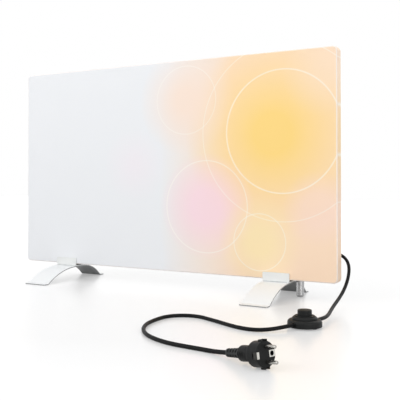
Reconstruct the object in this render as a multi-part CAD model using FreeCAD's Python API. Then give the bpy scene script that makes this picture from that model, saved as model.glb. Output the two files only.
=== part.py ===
import FreeCAD, Part
import math
import os

# Infrared foot warmer: a flat heating panel on two bent strap feet. On its back are a terminal box
# and a floor-contact tip-over switch. Its mains lead carries a foot switch and an earthed plug.
# Millimetres. +X is to the right seen from the front, -Y is to the front, +Z is up.
# The origin is on the floor, at the middle of the feet's footprint.

# Shared values
OVERRUN = 4.0
RUNNING_GAP = 0.25
FIT_GAP = 0.05
PART_GAP = 0.3
ARC_SHARE = 0.45
HALF_SHARE = 0.5
HEXAGON_SIDES = 6
CROSS_SPAN = 3.8
CROSS_WIDTH = 0.9
CROSS_DEPTH = 1.2

# Heating panel: a folded steel tray, closed at the back by a sheet
PANEL_WIDTH = 800.0
PANEL_HEIGHT = 460.0
PANEL_DEPTH = 22.0
PANEL_SETBACK = 13.5
PANEL_SHEET = 1.2
PANEL_CORNER_RADIUS = 9.0
PANEL_FRONT_ROUND = 3.0
PANEL_FLANGE = 14.0
COVER_SHEET = 1.0
COVER_INSET = 5.0
COVER_CORNER_RADIUS = 5.0
COVER_SWAGE_INSET = 48.0
COVER_SWAGE_DEPTH = 2.0
COVER_SWAGE_SLOPE = 6.0
COVER_SCREW_RADIUS = 1.5
COVER_SCREW_LENGTH = 6.0
COVER_SCREW_HEAD_RADIUS = 3.2
COVER_SCREW_HEAD_HEIGHT = 1.9
COVER_SCREW_ROW_SHARES = (-0.44, -0.22, 0.0, 0.22, 0.44)
COVER_SCREW_SIDE_SHARES = (-0.25, 0.0, 0.25)

# Layers inside the panel, from the front sheet to the back
FILM_INSET = 17.0
FILM_THICKNESS = 0.6
BUSBAR_WIDTH = 12.0
BUSBAR_THICKNESS = 0.4
BUSBAR_INSET = 8.0
FOIL_THICKNESS = 0.3
BOARD_THICKNESS = 15.0
CUTOUT_RADIUS = 8.5
CUTOUT_HEIGHT = 7.0
CUTOUT_FLANGE_RADIUS = 11.0
CUTOUT_FLANGE_HEIGHT = 1.2
CUTOUT_TAG_WIDTH = 6.3
CUTOUT_TAG_THICKNESS = 0.8
CUTOUT_TAG_LENGTH = 5.0
CUTOUT_TAG_SPACING = 9.0
CUTOUT_POCKET_GAP = 2.0
CUTOUT_LEFT_OF_BOX = 60.0
LEAD_DIAMETER = 2.2
LEAD_BEND = 5.0
LEAD_HOLE_GAP = 5.0

# Strap feet
FOOT_FROM_END = 128.0
FOOT_LENGTH = 216.0
FOOT_WIDTH = 58.0
FOOT_SHEET = 2.0
FOOT_CREST_HEIGHT = 32.0
FOOT_CREST_FLAT = 28.0
TOE_FLAT = 11.0
TOE_BEND_RADIUS = 9.0
TOE_CORNER_RADIUS = 2.5
CLIP_SHEET = 2.0
CLIP_BEND_RADIUS = 3.0
CLIP_OVERLAP = 14.0
CLIP_CORNER_RADIUS = 2.0
PAD_THICKNESS = 3.0
PAD_INSET = 1.5
RIVET_RADIUS = 2.0
RIVET_HEAD_RADIUS = 3.8
RIVET_HEAD_HEIGHT = 1.4
RIVET_SPACING = 34.0
CLAMP_SCREW_RADIUS = 2.0
CLAMP_SCREW_HEAD_RADIUS = 3.8
CLAMP_SCREW_HEAD_HEIGHT = 2.6
CLAMP_SCREW_SPACING = 34.0
CLAMP_SCREW_BELOW_TOP = 5.0

# Terminal box on the rear cover
BOX_BEYOND_PLUNGER = 22.0
BOX_ABOVE_CLIP = 7.0
BOX_HEIGHT = 84.0
BOX_DEPTH = 36.0
BOX_WALL = 2.2
BOX_CORNER_RADIUS = 5.0
BOX_LID = 2.4
BOX_LID_LIP = 3.0
BOX_LID_ROUND = 1.6
BOX_BOSS_RADIUS = 4.2
BOX_BOSS_INSET = 6.5
BOX_SCREW_RADIUS = 1.6
BOX_SCREW_HEAD_RADIUS = 3.2
BOX_SCREW_HEAD_HEIGHT = 2.0
GROMMET_RADIUS = 7.0
GROMMET_LENGTH = 30.0
GROMMET_LIP = 1.6
GROMMET_WALL = 1.6
GROMMET_FROM_LEFT = 12.0
BLOCK_WIDTH = 30.0
BLOCK_DEPTH = 16.0
BLOCK_FROM_LEFT = 24.0
POLE_PITCH = 9.0
POLE_COUNT = 3
POLE_BORE_RADIUS = 1.7
POLE_BORE_DEPTH = 8.0
POLE_SCREW_RADIUS = 2.2
POLE_SCREW_DEPTH = 3.0
POLE_HEIGHT = 10.0

# Cable gland on the right wall of the box
GLAND_ABOVE_BOX_BOTTOM = 34.0
GLAND_BEHIND_COVER = 21.5
GLAND_BARREL_RADIUS = 6.5
GLAND_COLLAR_RADIUS = 9.5
GLAND_COLLAR_LENGTH = 4.0
GLAND_TAPER_LENGTH = 27.0
GLAND_TAPER_RADIUS = 7.0
GLAND_MOUTH_RADIUS = 4.4
GLAND_GROOVE_COUNT = 5
GLAND_GROOVE_WIDTH = 1.6
GLAND_GROOVE_DEPTH = 1.0
GLAND_NUT_ACROSS = 17.0
GLAND_NUT_THICKNESS = 4.0
CORE_DIAMETER = 2.4
CORE_SPREAD = 3.0
CORE_ROOM = 16.0
CORE_BEHIND_SPRING = 2.0

# Tip-over switch: a sprung plunger that the floor holds up
PLUNGER_BESIDE_FOOT = 0.5
PLUNGER_BEHIND_COVER = 12.5
PLUNGER_RADIUS = 8.0
PLUNGER_TIP_ROUND = 5.0
PLUNGER_TRAVEL = 5.0
BUSH_FLANGE_RADIUS = 12.0
BUSH_FLANGE_HEIGHT = 2.0
BUSH_WALL = 2.0
BUSH_ABOVE_WALL = 12.5
COLLAR_RADIUS = 9.6
COLLAR_HEIGHT = 3.0
STUB_RADIUS = 2.5
TIP_SPRING_LENGTH = 19.0
TIP_SPRING_RADIUS = 6.0
TIP_SPRING_WIRE = 1.2
TIP_SPRING_TURNS = 5
SHELF_WIDTH = 22.0
SHELF_THICKNESS = 2.4
SHELF_BEYOND_PLUNGER = 8.0
SHELF_HOLE_RADIUS = 3.5
MICROSWITCH_WIDTH = 20.0
MICROSWITCH_DEPTH = 6.4
MICROSWITCH_HEIGHT = 10.2
MICROSWITCH_BUTTON_RADIUS = 1.3
MICROSWITCH_BUTTON_LENGTH = 1.0
MICROSWITCH_TAG_WIDTH = 3.2
MICROSWITCH_TAG_LENGTH = 4.0
MICROSWITCH_TAG_THICKNESS = 0.6

# Mains lead: two free stretches, with the points counted from the gland's mouth along X
CORD_DIAMETER = 6.4
CORD_EXIT_RUN = 20.0
CORD_SWITCH_RUN = 20.0
CORD_PLUG_RUN = 24.0
PANEL_SIDE_ROUTE = [
    (39.0, 42.0, 85.0),
    (51.5, 29.0, 72.5),
    (56.5, 12.5, 56.0),
    (58.0, -8.0, 40.0),
    (58.8, -31.0, 28.5),
    (59.8, -58.0, 20.0),
    (61.8, -88.0, 14.0),
    (66.2, -119.0, 10.0),
    (72.5, -149.0, 7.9),
]
PLUG_SIDE_ROUTE = [
    (30.0, -291.0, 5.2),
    (10.0, -300.0, 3.4),
    (-14.0, -300.0, 3.2),
    (-40.0, -291.0, 3.2),
    (-67.0, -277.0, 3.2),
    (-96.0, -263.0, 3.2),
    (-121.0, -252.0, 3.2),
    (-142.0, -252.5, 3.2),
    (-160.5, -262.0, 3.2),
    (-172.5, -281.0, 3.2),
    (-173.0, -306.5, 3.2),
    (-170.0, -334.5, 3.2),
    (-161.0, -361.5, 3.2),
    (-145.5, -387.5, 3.2),
    (-123.0, -411.5, 3.2),
    (-96.0, -428.5, 3.2),
    (-67.5, -440.0, 3.2),
    (-37.5, -445.0, 3.2),
    (-8.0, -447.5, 3.2),
]

# Foot switch on the lead
SWITCH_BEYOND_GLAND = 60.0
SWITCH_Y = -228.0
SWITCH_TURN = 72.0
SWITCH_RADIUS = 28.0
SWITCH_SKIRT = 2.0
SWITCH_WALL = 2.2
SWITCH_RIM_HEIGHT = 8.0
SWITCH_SHOULDER_RADIUS = 23.0
SWITCH_SHOULDER_HEIGHT = 13.2
SWITCH_STEP_RADIUS = 20.4
SWITCH_STEP_RISE = 1.6
SWITCH_DOME_RADIUS = 16.2
SWITCH_DOME_RISE = 3.0
SWITCH_COLLAR_RISE = 1.4
SWITCH_BASE_THICKNESS = 2.5
SWITCH_BASE_RIM = 2.0
SWITCH_BASE_RIM_WALL = 1.4
SWITCH_BASE_GAP = 0.4
SWITCH_PAD_RADIUS = 5.0
SWITCH_PAD_CIRCLE = 18.5
SWITCH_PAD_ANGLES = (30.0, 150.0, 270.0)
SWITCH_SCREW_CIRCLE = 19.6
SWITCH_SCREW_ANGLES = (90.0, 210.0, 330.0)
SWITCH_SCREW_RADIUS = 1.4
SWITCH_SCREW_HEAD_RADIUS = 2.8
SWITCH_SCREW_HEAD_HEIGHT = 1.5
SWITCH_SCREW_LENGTH = 7.5
SWITCH_BOSS_RADIUS = 3.2
SWITCH_ENTRY_HEIGHT = 7.4
BUSHING_RADIUS = 4.2
BUSHING_FLANGE_RADIUS = 5.0
BUSHING_FLANGE_LENGTH = 1.6
BUSHING_STANDOUT = 2.2
BUTTON_RADIUS = 11.6
BUTTON_FLANGE = 1.9
BUTTON_FLANGE_HEIGHT = 1.8
BUTTON_STANDOUT = 10.0
BUTTON_CROWN = 1.2
BUTTON_ROUND = 1.4
BUTTON_WALL = 2.0
BUTTON_ROOF = 3.0
BUTTON_TRAVEL = 4.0
MECHANISM_LENGTH = 24.0
MECHANISM_WIDTH = 16.0
MECHANISM_STEM_RADIUS = 2.4
MECHANISM_STEM_LENGTH = 9.0
MECHANISM_TAG_LENGTH = 5.0
MECHANISM_TAG_WIDTH = 4.0
MECHANISM_TAG_THICKNESS = 0.8
SWITCH_SPRING_RADIUS = 6.0
SWITCH_SPRING_WIRE = 1.2
SWITCH_SPRING_TURNS = 4

# Earthed two-pin plug, in its own frame: the axis is +X, from the boot's tail to the face
PLUG_BEYOND_GLAND = 42.5
PLUG_TAIL_Y = -461.0
PLUG_TURN = -22.0
PLUG_TILT = 9.5
BOOT_LENGTH = 29.0
BOOT_TAIL_RADIUS = 4.6
BOOT_ROOT_RADIUS = 6.8
BOOT_CORE_RADIUS = 3.6
BOOT_SLOT_COUNT = 4
BOOT_SLOT_WIDTH = 2.4
BOOT_SLOT_PITCH = 5.6
BOOT_SLOT_START = 4.0
BOOT_SPINE = 2.6
NECK_LENGTH = 14.0
NECK_RADIUS = 10.5
SHOULDER_LENGTH = 12.5
HEAD_LENGTH = 18.5
HEAD_RADIUS = 16.6
HEAD_STEP = 1.0
HEAD_ROUND = 1.5
GUIDE_WIDTH = 5.6
GUIDE_DEPTH = 2.6
GUIDE_LENGTH = 6.5
LAND_RISE = 2.0
LAND_WALL = 1.5
LAND_ROUND = 0.8
GRIP_WIDTH = 2.0
GRIP_DEPTH = 0.8
GRIP_COUNT = 3
GRIP_PITCH = 4.0
PIN_RADIUS = 2.4
PIN_LENGTH = 19.0
PIN_SPACING = 19.0
PIN_ROOT = 8.0
PIN_ROOT_RADIUS = 2.0
PIN_TIP_ROUND = 1.6
EARTH_STRIP_WIDTH = 8.6
EARTH_STRIP_THICKNESS = 1.0
EARTH_STRIP_LENGTH = 8.0
EARTH_STRIP_RETURN = 4.0
EARTH_PLATE_RETURN = 10.2
EARTH_SOCKET_LIP = 0.6
EARTH_SOCKET_RADIUS = 2.55
EARTH_SOCKET_DEPTH = 15.0
EARTH_SOCKET_OFFSET = 10.0

# Worked-out places of the panel
PANEL_FRONT_Y = PANEL_SETBACK - PANEL_DEPTH / 2
PANEL_BACK_Y = PANEL_SETBACK + PANEL_DEPTH / 2
COVER_BACK_Y = PANEL_BACK_Y + COVER_SHEET
PANEL_BOTTOM_Z = FOOT_CREST_HEIGHT + CLIP_SHEET + PAD_THICKNESS
PANEL_TOP_Z = PANEL_BOTTOM_Z + PANEL_HEIGHT
CLIP_FRONT_Y = PANEL_FRONT_Y - PART_GAP
CLIP_BACK_Y = COVER_BACK_Y + PART_GAP
PANEL_MIDDLE_Z = (PANEL_BOTTOM_Z + PANEL_TOP_Z) / 2
FILM_FRONT_Y = PANEL_FRONT_Y + PANEL_SHEET
BUSBAR_FRONT_Y = FILM_FRONT_Y + FILM_THICKNESS
FOIL_FRONT_Y = BUSBAR_FRONT_Y + BUSBAR_THICKNESS
BOARD_FRONT_Y = FOIL_FRONT_Y + FOIL_THICKNESS
BOARD_BACK_Y = BOARD_FRONT_Y + BOARD_THICKNESS
LEAD_PLANE_Y = BOARD_BACK_Y + LEAD_DIAMETER / 2 + PART_GAP

# Worked-out places of the feet, the terminal box and the tip-over switch
FOOT_SPACING = PANEL_WIDTH - FOOT_FROM_END * 2
PLUNGER_X = FOOT_SPACING / 2 + FOOT_WIDTH / 2 + PLUNGER_BESIDE_FOOT + PLUNGER_RADIUS
BOX_RIGHT = PLUNGER_X + BOX_BEYOND_PLUNGER
BOX_WIDTH = BLOCK_FROM_LEFT + BLOCK_WIDTH + CORE_ROOM + SHELF_WIDTH / 2 + BOX_BEYOND_PLUNGER
BOX_LEFT = BOX_RIGHT - BOX_WIDTH
BOX_BOTTOM = PANEL_BOTTOM_Z + CLIP_OVERLAP + BOX_ABOVE_CLIP
BOX_TOP = BOX_BOTTOM + BOX_HEIGHT
BOX_BACK_Y = COVER_BACK_Y + BOX_DEPTH
BOX_FLOOR_Y = COVER_BACK_Y + BOX_WALL
PLUNGER_Y = COVER_BACK_Y + PLUNGER_BEHIND_COVER
BUSH_OUTER_RADIUS = PLUNGER_RADIUS + RUNNING_GAP + BUSH_WALL
BUSH_TOP_Z = BOX_BOTTOM + BOX_WALL + BUSH_ABOVE_WALL
COLLAR_Z = BUSH_TOP_Z + PLUNGER_TRAVEL + PART_GAP
TIP_SPRING_Z = COLLAR_Z + COLLAR_HEIGHT
SHELF_Z = TIP_SPRING_Z + TIP_SPRING_LENGTH
SHELF_TOP_Z = SHELF_Z + SHELF_THICKNESS
GLAND_Y = COVER_BACK_Y + GLAND_BEHIND_COVER
GLAND_HEIGHT = BOX_BOTTOM + GLAND_ABOVE_BOX_BOTTOM
GLAND_MOUTH_X = BOX_RIGHT + GLAND_COLLAR_LENGTH + GLAND_TAPER_LENGTH
BLOCK_LEFT = BOX_LEFT + BLOCK_FROM_LEFT
BLOCK_RIGHT = BLOCK_LEFT + BLOCK_WIDTH
POLE_Y = BOX_FLOOR_Y + POLE_HEIGHT
GROMMET_X = BOX_LEFT + GROMMET_FROM_LEFT
SWITCH_X = GLAND_MOUTH_X + SWITCH_BEYOND_GLAND
PLUG_TAIL_X = GLAND_MOUTH_X + PLUG_BEYOND_GLAND

# Worked-out heights of the foot switch
SWITCH_BASE_TOP = SWITCH_SKIRT + SWITCH_BASE_THICKNESS
SWITCH_TOP = SWITCH_SHOULDER_HEIGHT + SWITCH_STEP_RISE + SWITCH_DOME_RISE + SWITCH_COLLAR_RISE
LEDGE_HEIGHT = SWITCH_TOP - SWITCH_WALL
BUTTON_FLANGE_TOP = LEDGE_HEIGHT - PART_GAP
BUTTON_FLANGE_BOTTOM = BUTTON_FLANGE_TOP - BUTTON_FLANGE_HEIGHT
BUTTON_TOP = SWITCH_TOP + BUTTON_STANDOUT
BUTTON_ROOF_HEIGHT = BUTTON_TOP - BUTTON_CROWN - BUTTON_ROOF
MECHANISM_TOP = BUTTON_FLANGE_BOTTOM - BUTTON_TRAVEL - PART_GAP

# Worked-out places along the plug
NECK_X = BOOT_LENGTH
SHOULDER_X = NECK_X + NECK_LENGTH
HEAD_X = SHOULDER_X + SHOULDER_LENGTH
FACE_X = HEAD_X + HEAD_LENGTH

FRONTWARD = FreeCAD.Vector(0, -1, 0)
BACKWARD = FreeCAD.Vector(0, 1, 0)
RIGHTWARD = FreeCAD.Vector(1, 0, 0)
LEFTWARD = FreeCAD.Vector(-1, 0, 0)
UPWARD = FreeCAD.Vector(0, 0, 1)
DOWNWARD = FreeCAD.Vector(0, 0, -1)
ORIGIN = FreeCAD.Vector(0, 0, 0)


def point(x, y, z):
    """A point in the part's frame."""
    return FreeCAD.Vector(x, y, z)


def block(low, high):
    """An upright box between two corners."""
    return Part.makeBox(high[0] - low[0], high[1] - low[1], high[2] - low[2], point(*low))


def rod(start, direction, radius, length):
    """A round bar from a start point along a direction."""
    return Part.makeCylinder(radius, length, start, direction)


def hole_across(place, direction, radius):
    """A drill for a fastener: a bar with fitting clearance that runs past a thin wall on both sides."""
    return rod(place - direction * OVERRUN, direction, radius + FIT_GAP, OVERRUN * 2)


def fused(shapes):
    """One solid from several that touch or overlap."""
    return shapes[0].multiFuse(list(shapes[1:])).removeSplitter()


def outline(start, steps):
    """A closed wire: each step is a corner, or a pair of an arc's middle and end."""
    edges = []
    here = start
    for step in steps:
        if isinstance(step, tuple):
            edges.append(Part.Arc(here, step[0], step[1]).toShape())
            here = step[1]
        else:
            edges.append(Part.LineSegment(here, step).toShape())
            here = step
    if not here.isEqual(start, FIT_GAP / 100):
        edges.append(Part.LineSegment(here, start).toShape())
    return Part.Wire(edges)


def turned(start, steps, axis):
    """A solid of revolution about an axis through the origin."""
    return Part.Face(outline(start, steps)).revolve(ORIGIN, axis, 360)


def plate(low, high, corner_radius):
    """A flat box with its four corners rounded in the front view."""
    slab = block(low, high)
    upright = [e for e in slab.Edges if e.tangentAt(e.FirstParameter).cross(BACKWARD).Length < FIT_GAP]
    return slab.makeFillet(corner_radius, upright)


def spring(foot, wire, radius, height, turns):
    """A compression spring that stands on a point, with the wire inside the given height."""
    rise = height - wire
    helix = Part.makeHelix(rise / turns, rise, radius)
    section = Part.Wire(Part.Circle(point(radius, 0, 0), BACKWARD, wire / 2).toShape())
    coil = Part.Wire(helix.Edges).makePipeShell([section], True, True)
    coil.translate(foot + UPWARD * (wire / 2))
    return coil


def route_path(points):
    """Straight runs joined by tangent arcs, with the arcs' radii and the path's length."""
    corners = [point(*p) for p in points]
    edges = []
    radii = []
    here = corners[0]
    for before, corner, after in zip(corners, corners[1:], corners[2:]):
        back = before - corner
        on = after - corner
        shorter = min(back.Length, on.Length)
        back.normalize()
        on.normalize()
        turn = math.pi - back.getAngle(on)
        reach = shorter * ARC_SHARE
        radius = reach / math.tan(turn / 2)
        inward = back + on
        inward.normalize()
        middle = corner + inward * (radius / math.cos(turn / 2) - radius)
        arc_start = corner + back * reach
        arc_end = corner + on * reach
        edges.append(Part.LineSegment(here, arc_start).toShape())
        edges.append(Part.Arc(arc_start, middle, arc_end).toShape())
        radii.append(radius)
        here = arc_end
    edges.append(Part.LineSegment(here, corners[-1]).toShape())
    return Part.Wire(edges), radii


def tube(points, diameter):
    """A round flexible lead along a route of points."""
    path, radii = route_path(points)
    heading = point(*points[1]) - point(*points[0])
    section = Part.Wire(Part.Circle(point(*points[0]), heading, diameter / 2).toShape())
    return path.makePipeShell([section], True, False), path.Length, radii


def cord(name, points):
    """A free stretch of the mains lead, with its tightest bend and its volume printed."""
    solid, length, radii = tube(points, CORD_DIAMETER)
    expected = math.pi * CORD_DIAMETER ** 2 / 4 * length
    print(f"{name}: length {length:.1f}, least radius {min(radii):.1f}")
    print(f"  volume over section times length {solid.Volume / expected:.4f}")
    print("  radii", [round(radius, 1) for radius in radii])
    return solid


def domed_pin(seat, direction, radius, length, head_radius, head_height):
    """A pin with a domed head: the seat is under the head, and the shank points along direction."""
    shank = rod(seat, direction, radius, length)
    head = rod(seat, direction * -1, head_radius, head_height)
    rims = [e for e in head.Edges if abs((e.CenterOfMass - seat).dot(direction) + head_height) < FIT_GAP]
    head = head.makeFillet(head_height / 2, rims)
    return fused([shank, head])


def pan_screw(seat, radius, length, head_radius, head_height):
    """A screw driven in from the back, with a domed head and a cross recess."""
    screw = domed_pin(seat, FRONTWARD, radius, length, head_radius, head_height)
    floor_y = seat.y + head_height - CROSS_DEPTH
    for across, up in ((CROSS_SPAN, CROSS_WIDTH), (CROSS_WIDTH, CROSS_SPAN)):
        low = (seat.x - across / 2, floor_y, seat.z - up / 2)
        screw = screw.cut(block(low, (seat.x + across / 2, floor_y + OVERRUN, seat.z + up / 2)))
    return screw


def front_panel():
    """The folded tray: front sheet, four walls and a return flange round the open back."""
    half = PANEL_WIDTH / 2
    low = (-half, PANEL_FRONT_Y, PANEL_BOTTOM_Z)
    outer = plate(low, (half, PANEL_BACK_Y, PANEL_TOP_Z), PANEL_CORNER_RADIUS)
    rims = [e for e in outer.Edges if abs(e.BoundBox.YMax - PANEL_FRONT_Y) < FIT_GAP]
    outer = outer.makeFillet(PANEL_FRONT_ROUND, rims)
    room_low = (-half + PANEL_SHEET, PANEL_FRONT_Y + PANEL_SHEET, PANEL_BOTTOM_Z + PANEL_SHEET)
    room_high = (half - PANEL_SHEET, PANEL_BACK_Y - PANEL_SHEET, PANEL_TOP_Z - PANEL_SHEET)
    room = plate(room_low, room_high, PANEL_CORNER_RADIUS - PANEL_SHEET)
    window_low = (-half + PANEL_FLANGE, PANEL_BACK_Y - PANEL_SHEET - OVERRUN, PANEL_BOTTOM_Z + PANEL_FLANGE)
    window_high = (half - PANEL_FLANGE, PANEL_BACK_Y + OVERRUN, PANEL_TOP_Z - PANEL_FLANGE)
    tray = outer.cut(room).cut(block(window_low, window_high))
    for seat in cover_screw_seats():
        tray = tray.cut(hole_across(seat, BACKWARD, COVER_SCREW_RADIUS))
    return tray


def cover_screw_seats():
    """The screws' places round the edge of the rear cover, on its outer face."""
    across = PANEL_WIDTH / 2 - (COVER_INSET + PANEL_FLANGE) / 2
    up = PANEL_HEIGHT / 2 - (COVER_INSET + PANEL_FLANGE) / 2
    seats = []
    for side in (-1, 1):
        for share in COVER_SCREW_ROW_SHARES:
            seats.append(point(share * PANEL_WIDTH, COVER_BACK_Y, PANEL_MIDDLE_Z + side * up))
        for share in COVER_SCREW_SIDE_SHARES:
            seats.append(point(side * across, COVER_BACK_Y, PANEL_MIDDLE_Z + share * PANEL_HEIGHT))
    return seats


def grommet_hole(width, low_y, high_y):
    """An upright slot with round ends, centred on the leads' way into the terminal box."""
    straight = GROMMET_LENGTH / 2 - GROMMET_RADIUS
    lower = point(GROMMET_X, low_y, GLAND_HEIGHT - straight)
    upper = point(GROMMET_X, low_y, GLAND_HEIGHT + straight)
    depth = high_y - low_y
    middle = block((GROMMET_X - width, low_y, lower.z), (GROMMET_X + width, high_y, upper.z))
    return fused([middle, rod(lower, BACKWARD, width, depth), rod(upper, BACKWARD, width, depth)])


def rear_cover():
    """The sheet that closes the tray, with a pressed field that stiffens its upper part."""
    half = PANEL_WIDTH / 2 - COVER_INSET
    low_z = PANEL_BOTTOM_Z + COVER_INSET
    high_z = PANEL_TOP_Z - COVER_INSET
    sheet = plate((-half, PANEL_BACK_Y, low_z), (half, COVER_BACK_Y, high_z), COVER_CORNER_RADIUS)
    hollow = swage(0)
    dish = swage(COVER_SHEET)
    sheet = sheet.cut(hollow).fuse(dish.cut(hollow)).removeSplitter()
    sheet = sheet.cut(grommet_hole(GROMMET_RADIUS, PANEL_BACK_Y - OVERRUN, COVER_BACK_Y + OVERRUN))
    for seat in cover_screw_seats():
        sheet = sheet.cut(hole_across(seat, BACKWARD, COVER_SCREW_RADIUS))
    for x, z in box_screw_places():
        sheet = sheet.cut(hole_across(point(x, COVER_BACK_Y, z), BACKWARD, BOX_SCREW_RADIUS))
    return sheet


def swage(skin):
    """A tapered pocket pressed into the rear cover above the terminal box, grown by the sheet's skin."""
    half = PANEL_WIDTH / 2 - COVER_SWAGE_INSET
    low_z = BOX_TOP + COVER_SWAGE_INSET / 2
    high_z = PANEL_TOP_Z - COVER_SWAGE_INSET
    floor_y = COVER_BACK_Y - COVER_SWAGE_DEPTH - skin
    wires = []
    for y, inset in ((COVER_BACK_Y, 0), (floor_y, COVER_SWAGE_SLOPE)):
        shrink = inset - skin
        corners = [
            point(-half + shrink, y, low_z + shrink),
            point(half - shrink, y, low_z + shrink),
            point(half - shrink, y, high_z - shrink),
            point(-half + shrink, y, high_z - shrink),
        ]
        wires.append(Part.makePolygon(corners + corners[:1]))
    return Part.makeLoft(wires, True, True)


def rear_cover_screws():
    """The screws that hold the rear cover to the tray's flange."""
    sizes = (COVER_SCREW_RADIUS, COVER_SCREW_LENGTH, COVER_SCREW_HEAD_RADIUS, COVER_SCREW_HEAD_HEIGHT)
    return Part.makeCompound([pan_screw(seat, *sizes) for seat in cover_screw_seats()])


def layer(front_y, back_y):
    """A sheet of the heating stack, as wide and high as the film."""
    half = PANEL_WIDTH / 2 - FILM_INSET
    return block((-half, front_y, PANEL_BOTTOM_Z + FILM_INSET), (half, back_y, PANEL_TOP_Z - FILM_INSET))


def busbar_x(side):
    """The middle of a busbar, on the left or the right of the film."""
    return side * (PANEL_WIDTH / 2 - FILM_INSET - BUSBAR_INSET - BUSBAR_WIDTH / 2)


def busbars():
    """The two copper strips that feed the heating film."""
    low_z = PANEL_BOTTOM_Z + FILM_INSET + BUSBAR_INSET
    high_z = PANEL_TOP_Z - FILM_INSET - BUSBAR_INSET
    strips = []
    for side in (-1, 1):
        x = busbar_x(side)
        low = (x - BUSBAR_WIDTH / 2, BUSBAR_FRONT_Y, low_z)
        high = (x + BUSBAR_WIDTH / 2, FOIL_FRONT_Y, high_z)
        strips.append(block(low, high))
    return Part.makeCompound(strips)


def cutout_seat():
    """The thermal cut-out's place on the foil, left of the terminal box."""
    return point(BOX_LEFT - CUTOUT_LEFT_OF_BOX, BOARD_FRONT_Y, GLAND_HEIGHT + POLE_PITCH)


def lead_holes(sheet):
    """Cuts the ways for the two leads to the busbars through a layer of the stack."""
    for side in (-1, 1):
        start = point(busbar_x(side), FOIL_FRONT_Y - OVERRUN, pole_height(side))
        length = BOARD_BACK_Y - FOIL_FRONT_Y + OVERRUN * 2
        sheet = sheet.cut(rod(start, BACKWARD, LEAD_DIAMETER / 2 + LEAD_HOLE_GAP, length))
    return sheet


def reflector_foil():
    """The aluminium foil that turns the heat to the front."""
    return lead_holes(layer(FOIL_FRONT_Y, BOARD_FRONT_Y))


def insulation_board():
    """The mineral board behind the foil, with a round pocket for the thermal cut-out."""
    board = lead_holes(layer(BOARD_FRONT_Y, BOARD_BACK_Y))
    pocket_radius = CUTOUT_FLANGE_RADIUS + CUTOUT_POCKET_GAP
    pocket_start = cutout_seat() + FRONTWARD * OVERRUN
    return board.cut(rod(pocket_start, BACKWARD, pocket_radius, BOARD_THICKNESS + OVERRUN * 2))


def thermal_cutout():
    """A disc thermostat with a flange and two tags."""
    seat = cutout_seat()
    flange = rod(seat, BACKWARD, CUTOUT_FLANGE_RADIUS, CUTOUT_FLANGE_HEIGHT)
    body = rod(seat, BACKWARD, CUTOUT_RADIUS, CUTOUT_HEIGHT)
    top_y = seat.y + CUTOUT_HEIGHT
    tags = []
    for side in (-1, 1):
        x = seat.x + side * CUTOUT_TAG_SPACING / 2
        low = (x - CUTOUT_TAG_THICKNESS / 2, top_y - CUTOUT_FLANGE_HEIGHT, seat.z - CUTOUT_TAG_WIDTH / 2)
        high = (x + CUTOUT_TAG_THICKNESS / 2, top_y + CUTOUT_TAG_LENGTH, seat.z + CUTOUT_TAG_WIDTH / 2)
        tags.append(block(low, high))
    return fused([flange, body] + tags)


def pole_height(side):
    """The height of a terminal pole: lower, middle or upper for -1, 0 or 1."""
    return GLAND_HEIGHT + side * POLE_PITCH


def heater_leads():
    """The two leads that run behind the board from the terminal block to the busbars."""
    leads = []
    for side in (-1, 1):
        z = pole_height(side)
        entry = (BLOCK_LEFT + POLE_BORE_DEPTH - PART_GAP, POLE_Y, z)
        rise = (GROMMET_X, POLE_Y, z)
        drop = (GROMMET_X, LEAD_PLANE_Y, z)
        turn = (busbar_x(side), LEAD_PLANE_Y, z)
        foot = (busbar_x(side), FOIL_FRONT_Y, z)
        runs = bent_lead([entry, rise, drop, turn, foot], LEAD_DIAMETER)
        leads.append(runs)
    return Part.makeCompound(leads)


def bent_lead(points, diameter):
    """A lead with square bends of the leads' own bend radius."""
    corners = [point(*p) for p in points]
    edges = []
    here = corners[0]
    for before, corner, after in zip(corners, corners[1:], corners[2:]):
        back = (before - corner).normalize()
        on = (after - corner).normalize()
        turn = math.pi - back.getAngle(on)
        reach = LEAD_BEND * math.tan(turn / 2)
        inward = (back + on).normalize()
        middle = corner + inward * (LEAD_BEND / math.cos(turn / 2) - LEAD_BEND)
        edges.append(Part.LineSegment(here, corner + back * reach).toShape())
        edges.append(Part.Arc(corner + back * reach, middle, corner + on * reach).toShape())
        here = corner + on * reach
    edges.append(Part.LineSegment(here, corners[-1]).toShape())
    section = Part.Wire(Part.Circle(corners[0], corners[1] - corners[0], diameter / 2).toShape())
    return Part.Wire(edges).makePipeShell([section], True, False)


def lead_grommet():
    """The rubber edging of the slot where the leads go through the rear cover."""
    barrel = grommet_hole(GROMMET_RADIUS - FIT_GAP, PANEL_BACK_Y - GROMMET_LIP, BOX_FLOOR_Y + GROMMET_LIP)
    lip = grommet_hole(GROMMET_RADIUS + GROMMET_LIP, PANEL_BACK_Y - GROMMET_LIP, PANEL_BACK_Y)
    ring = grommet_hole(GROMMET_RADIUS + GROMMET_LIP, BOX_FLOOR_Y, BOX_FLOOR_Y + GROMMET_LIP)
    way = grommet_hole(GROMMET_RADIUS - GROMMET_WALL, PANEL_BACK_Y - OVERRUN, BOX_FLOOR_Y + OVERRUN)
    return fused([barrel, lip, ring]).cut(way)


def box_screw_places():
    """The four corners where the box's screws go through."""
    places = []
    for x in (BOX_LEFT + BOX_BOSS_INSET, BOX_RIGHT - BOX_BOSS_INSET):
        for z in (BOX_BOTTOM + BOX_BOSS_INSET, BOX_TOP - BOX_BOSS_INSET):
            places.append((x, z))
    return places


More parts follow.
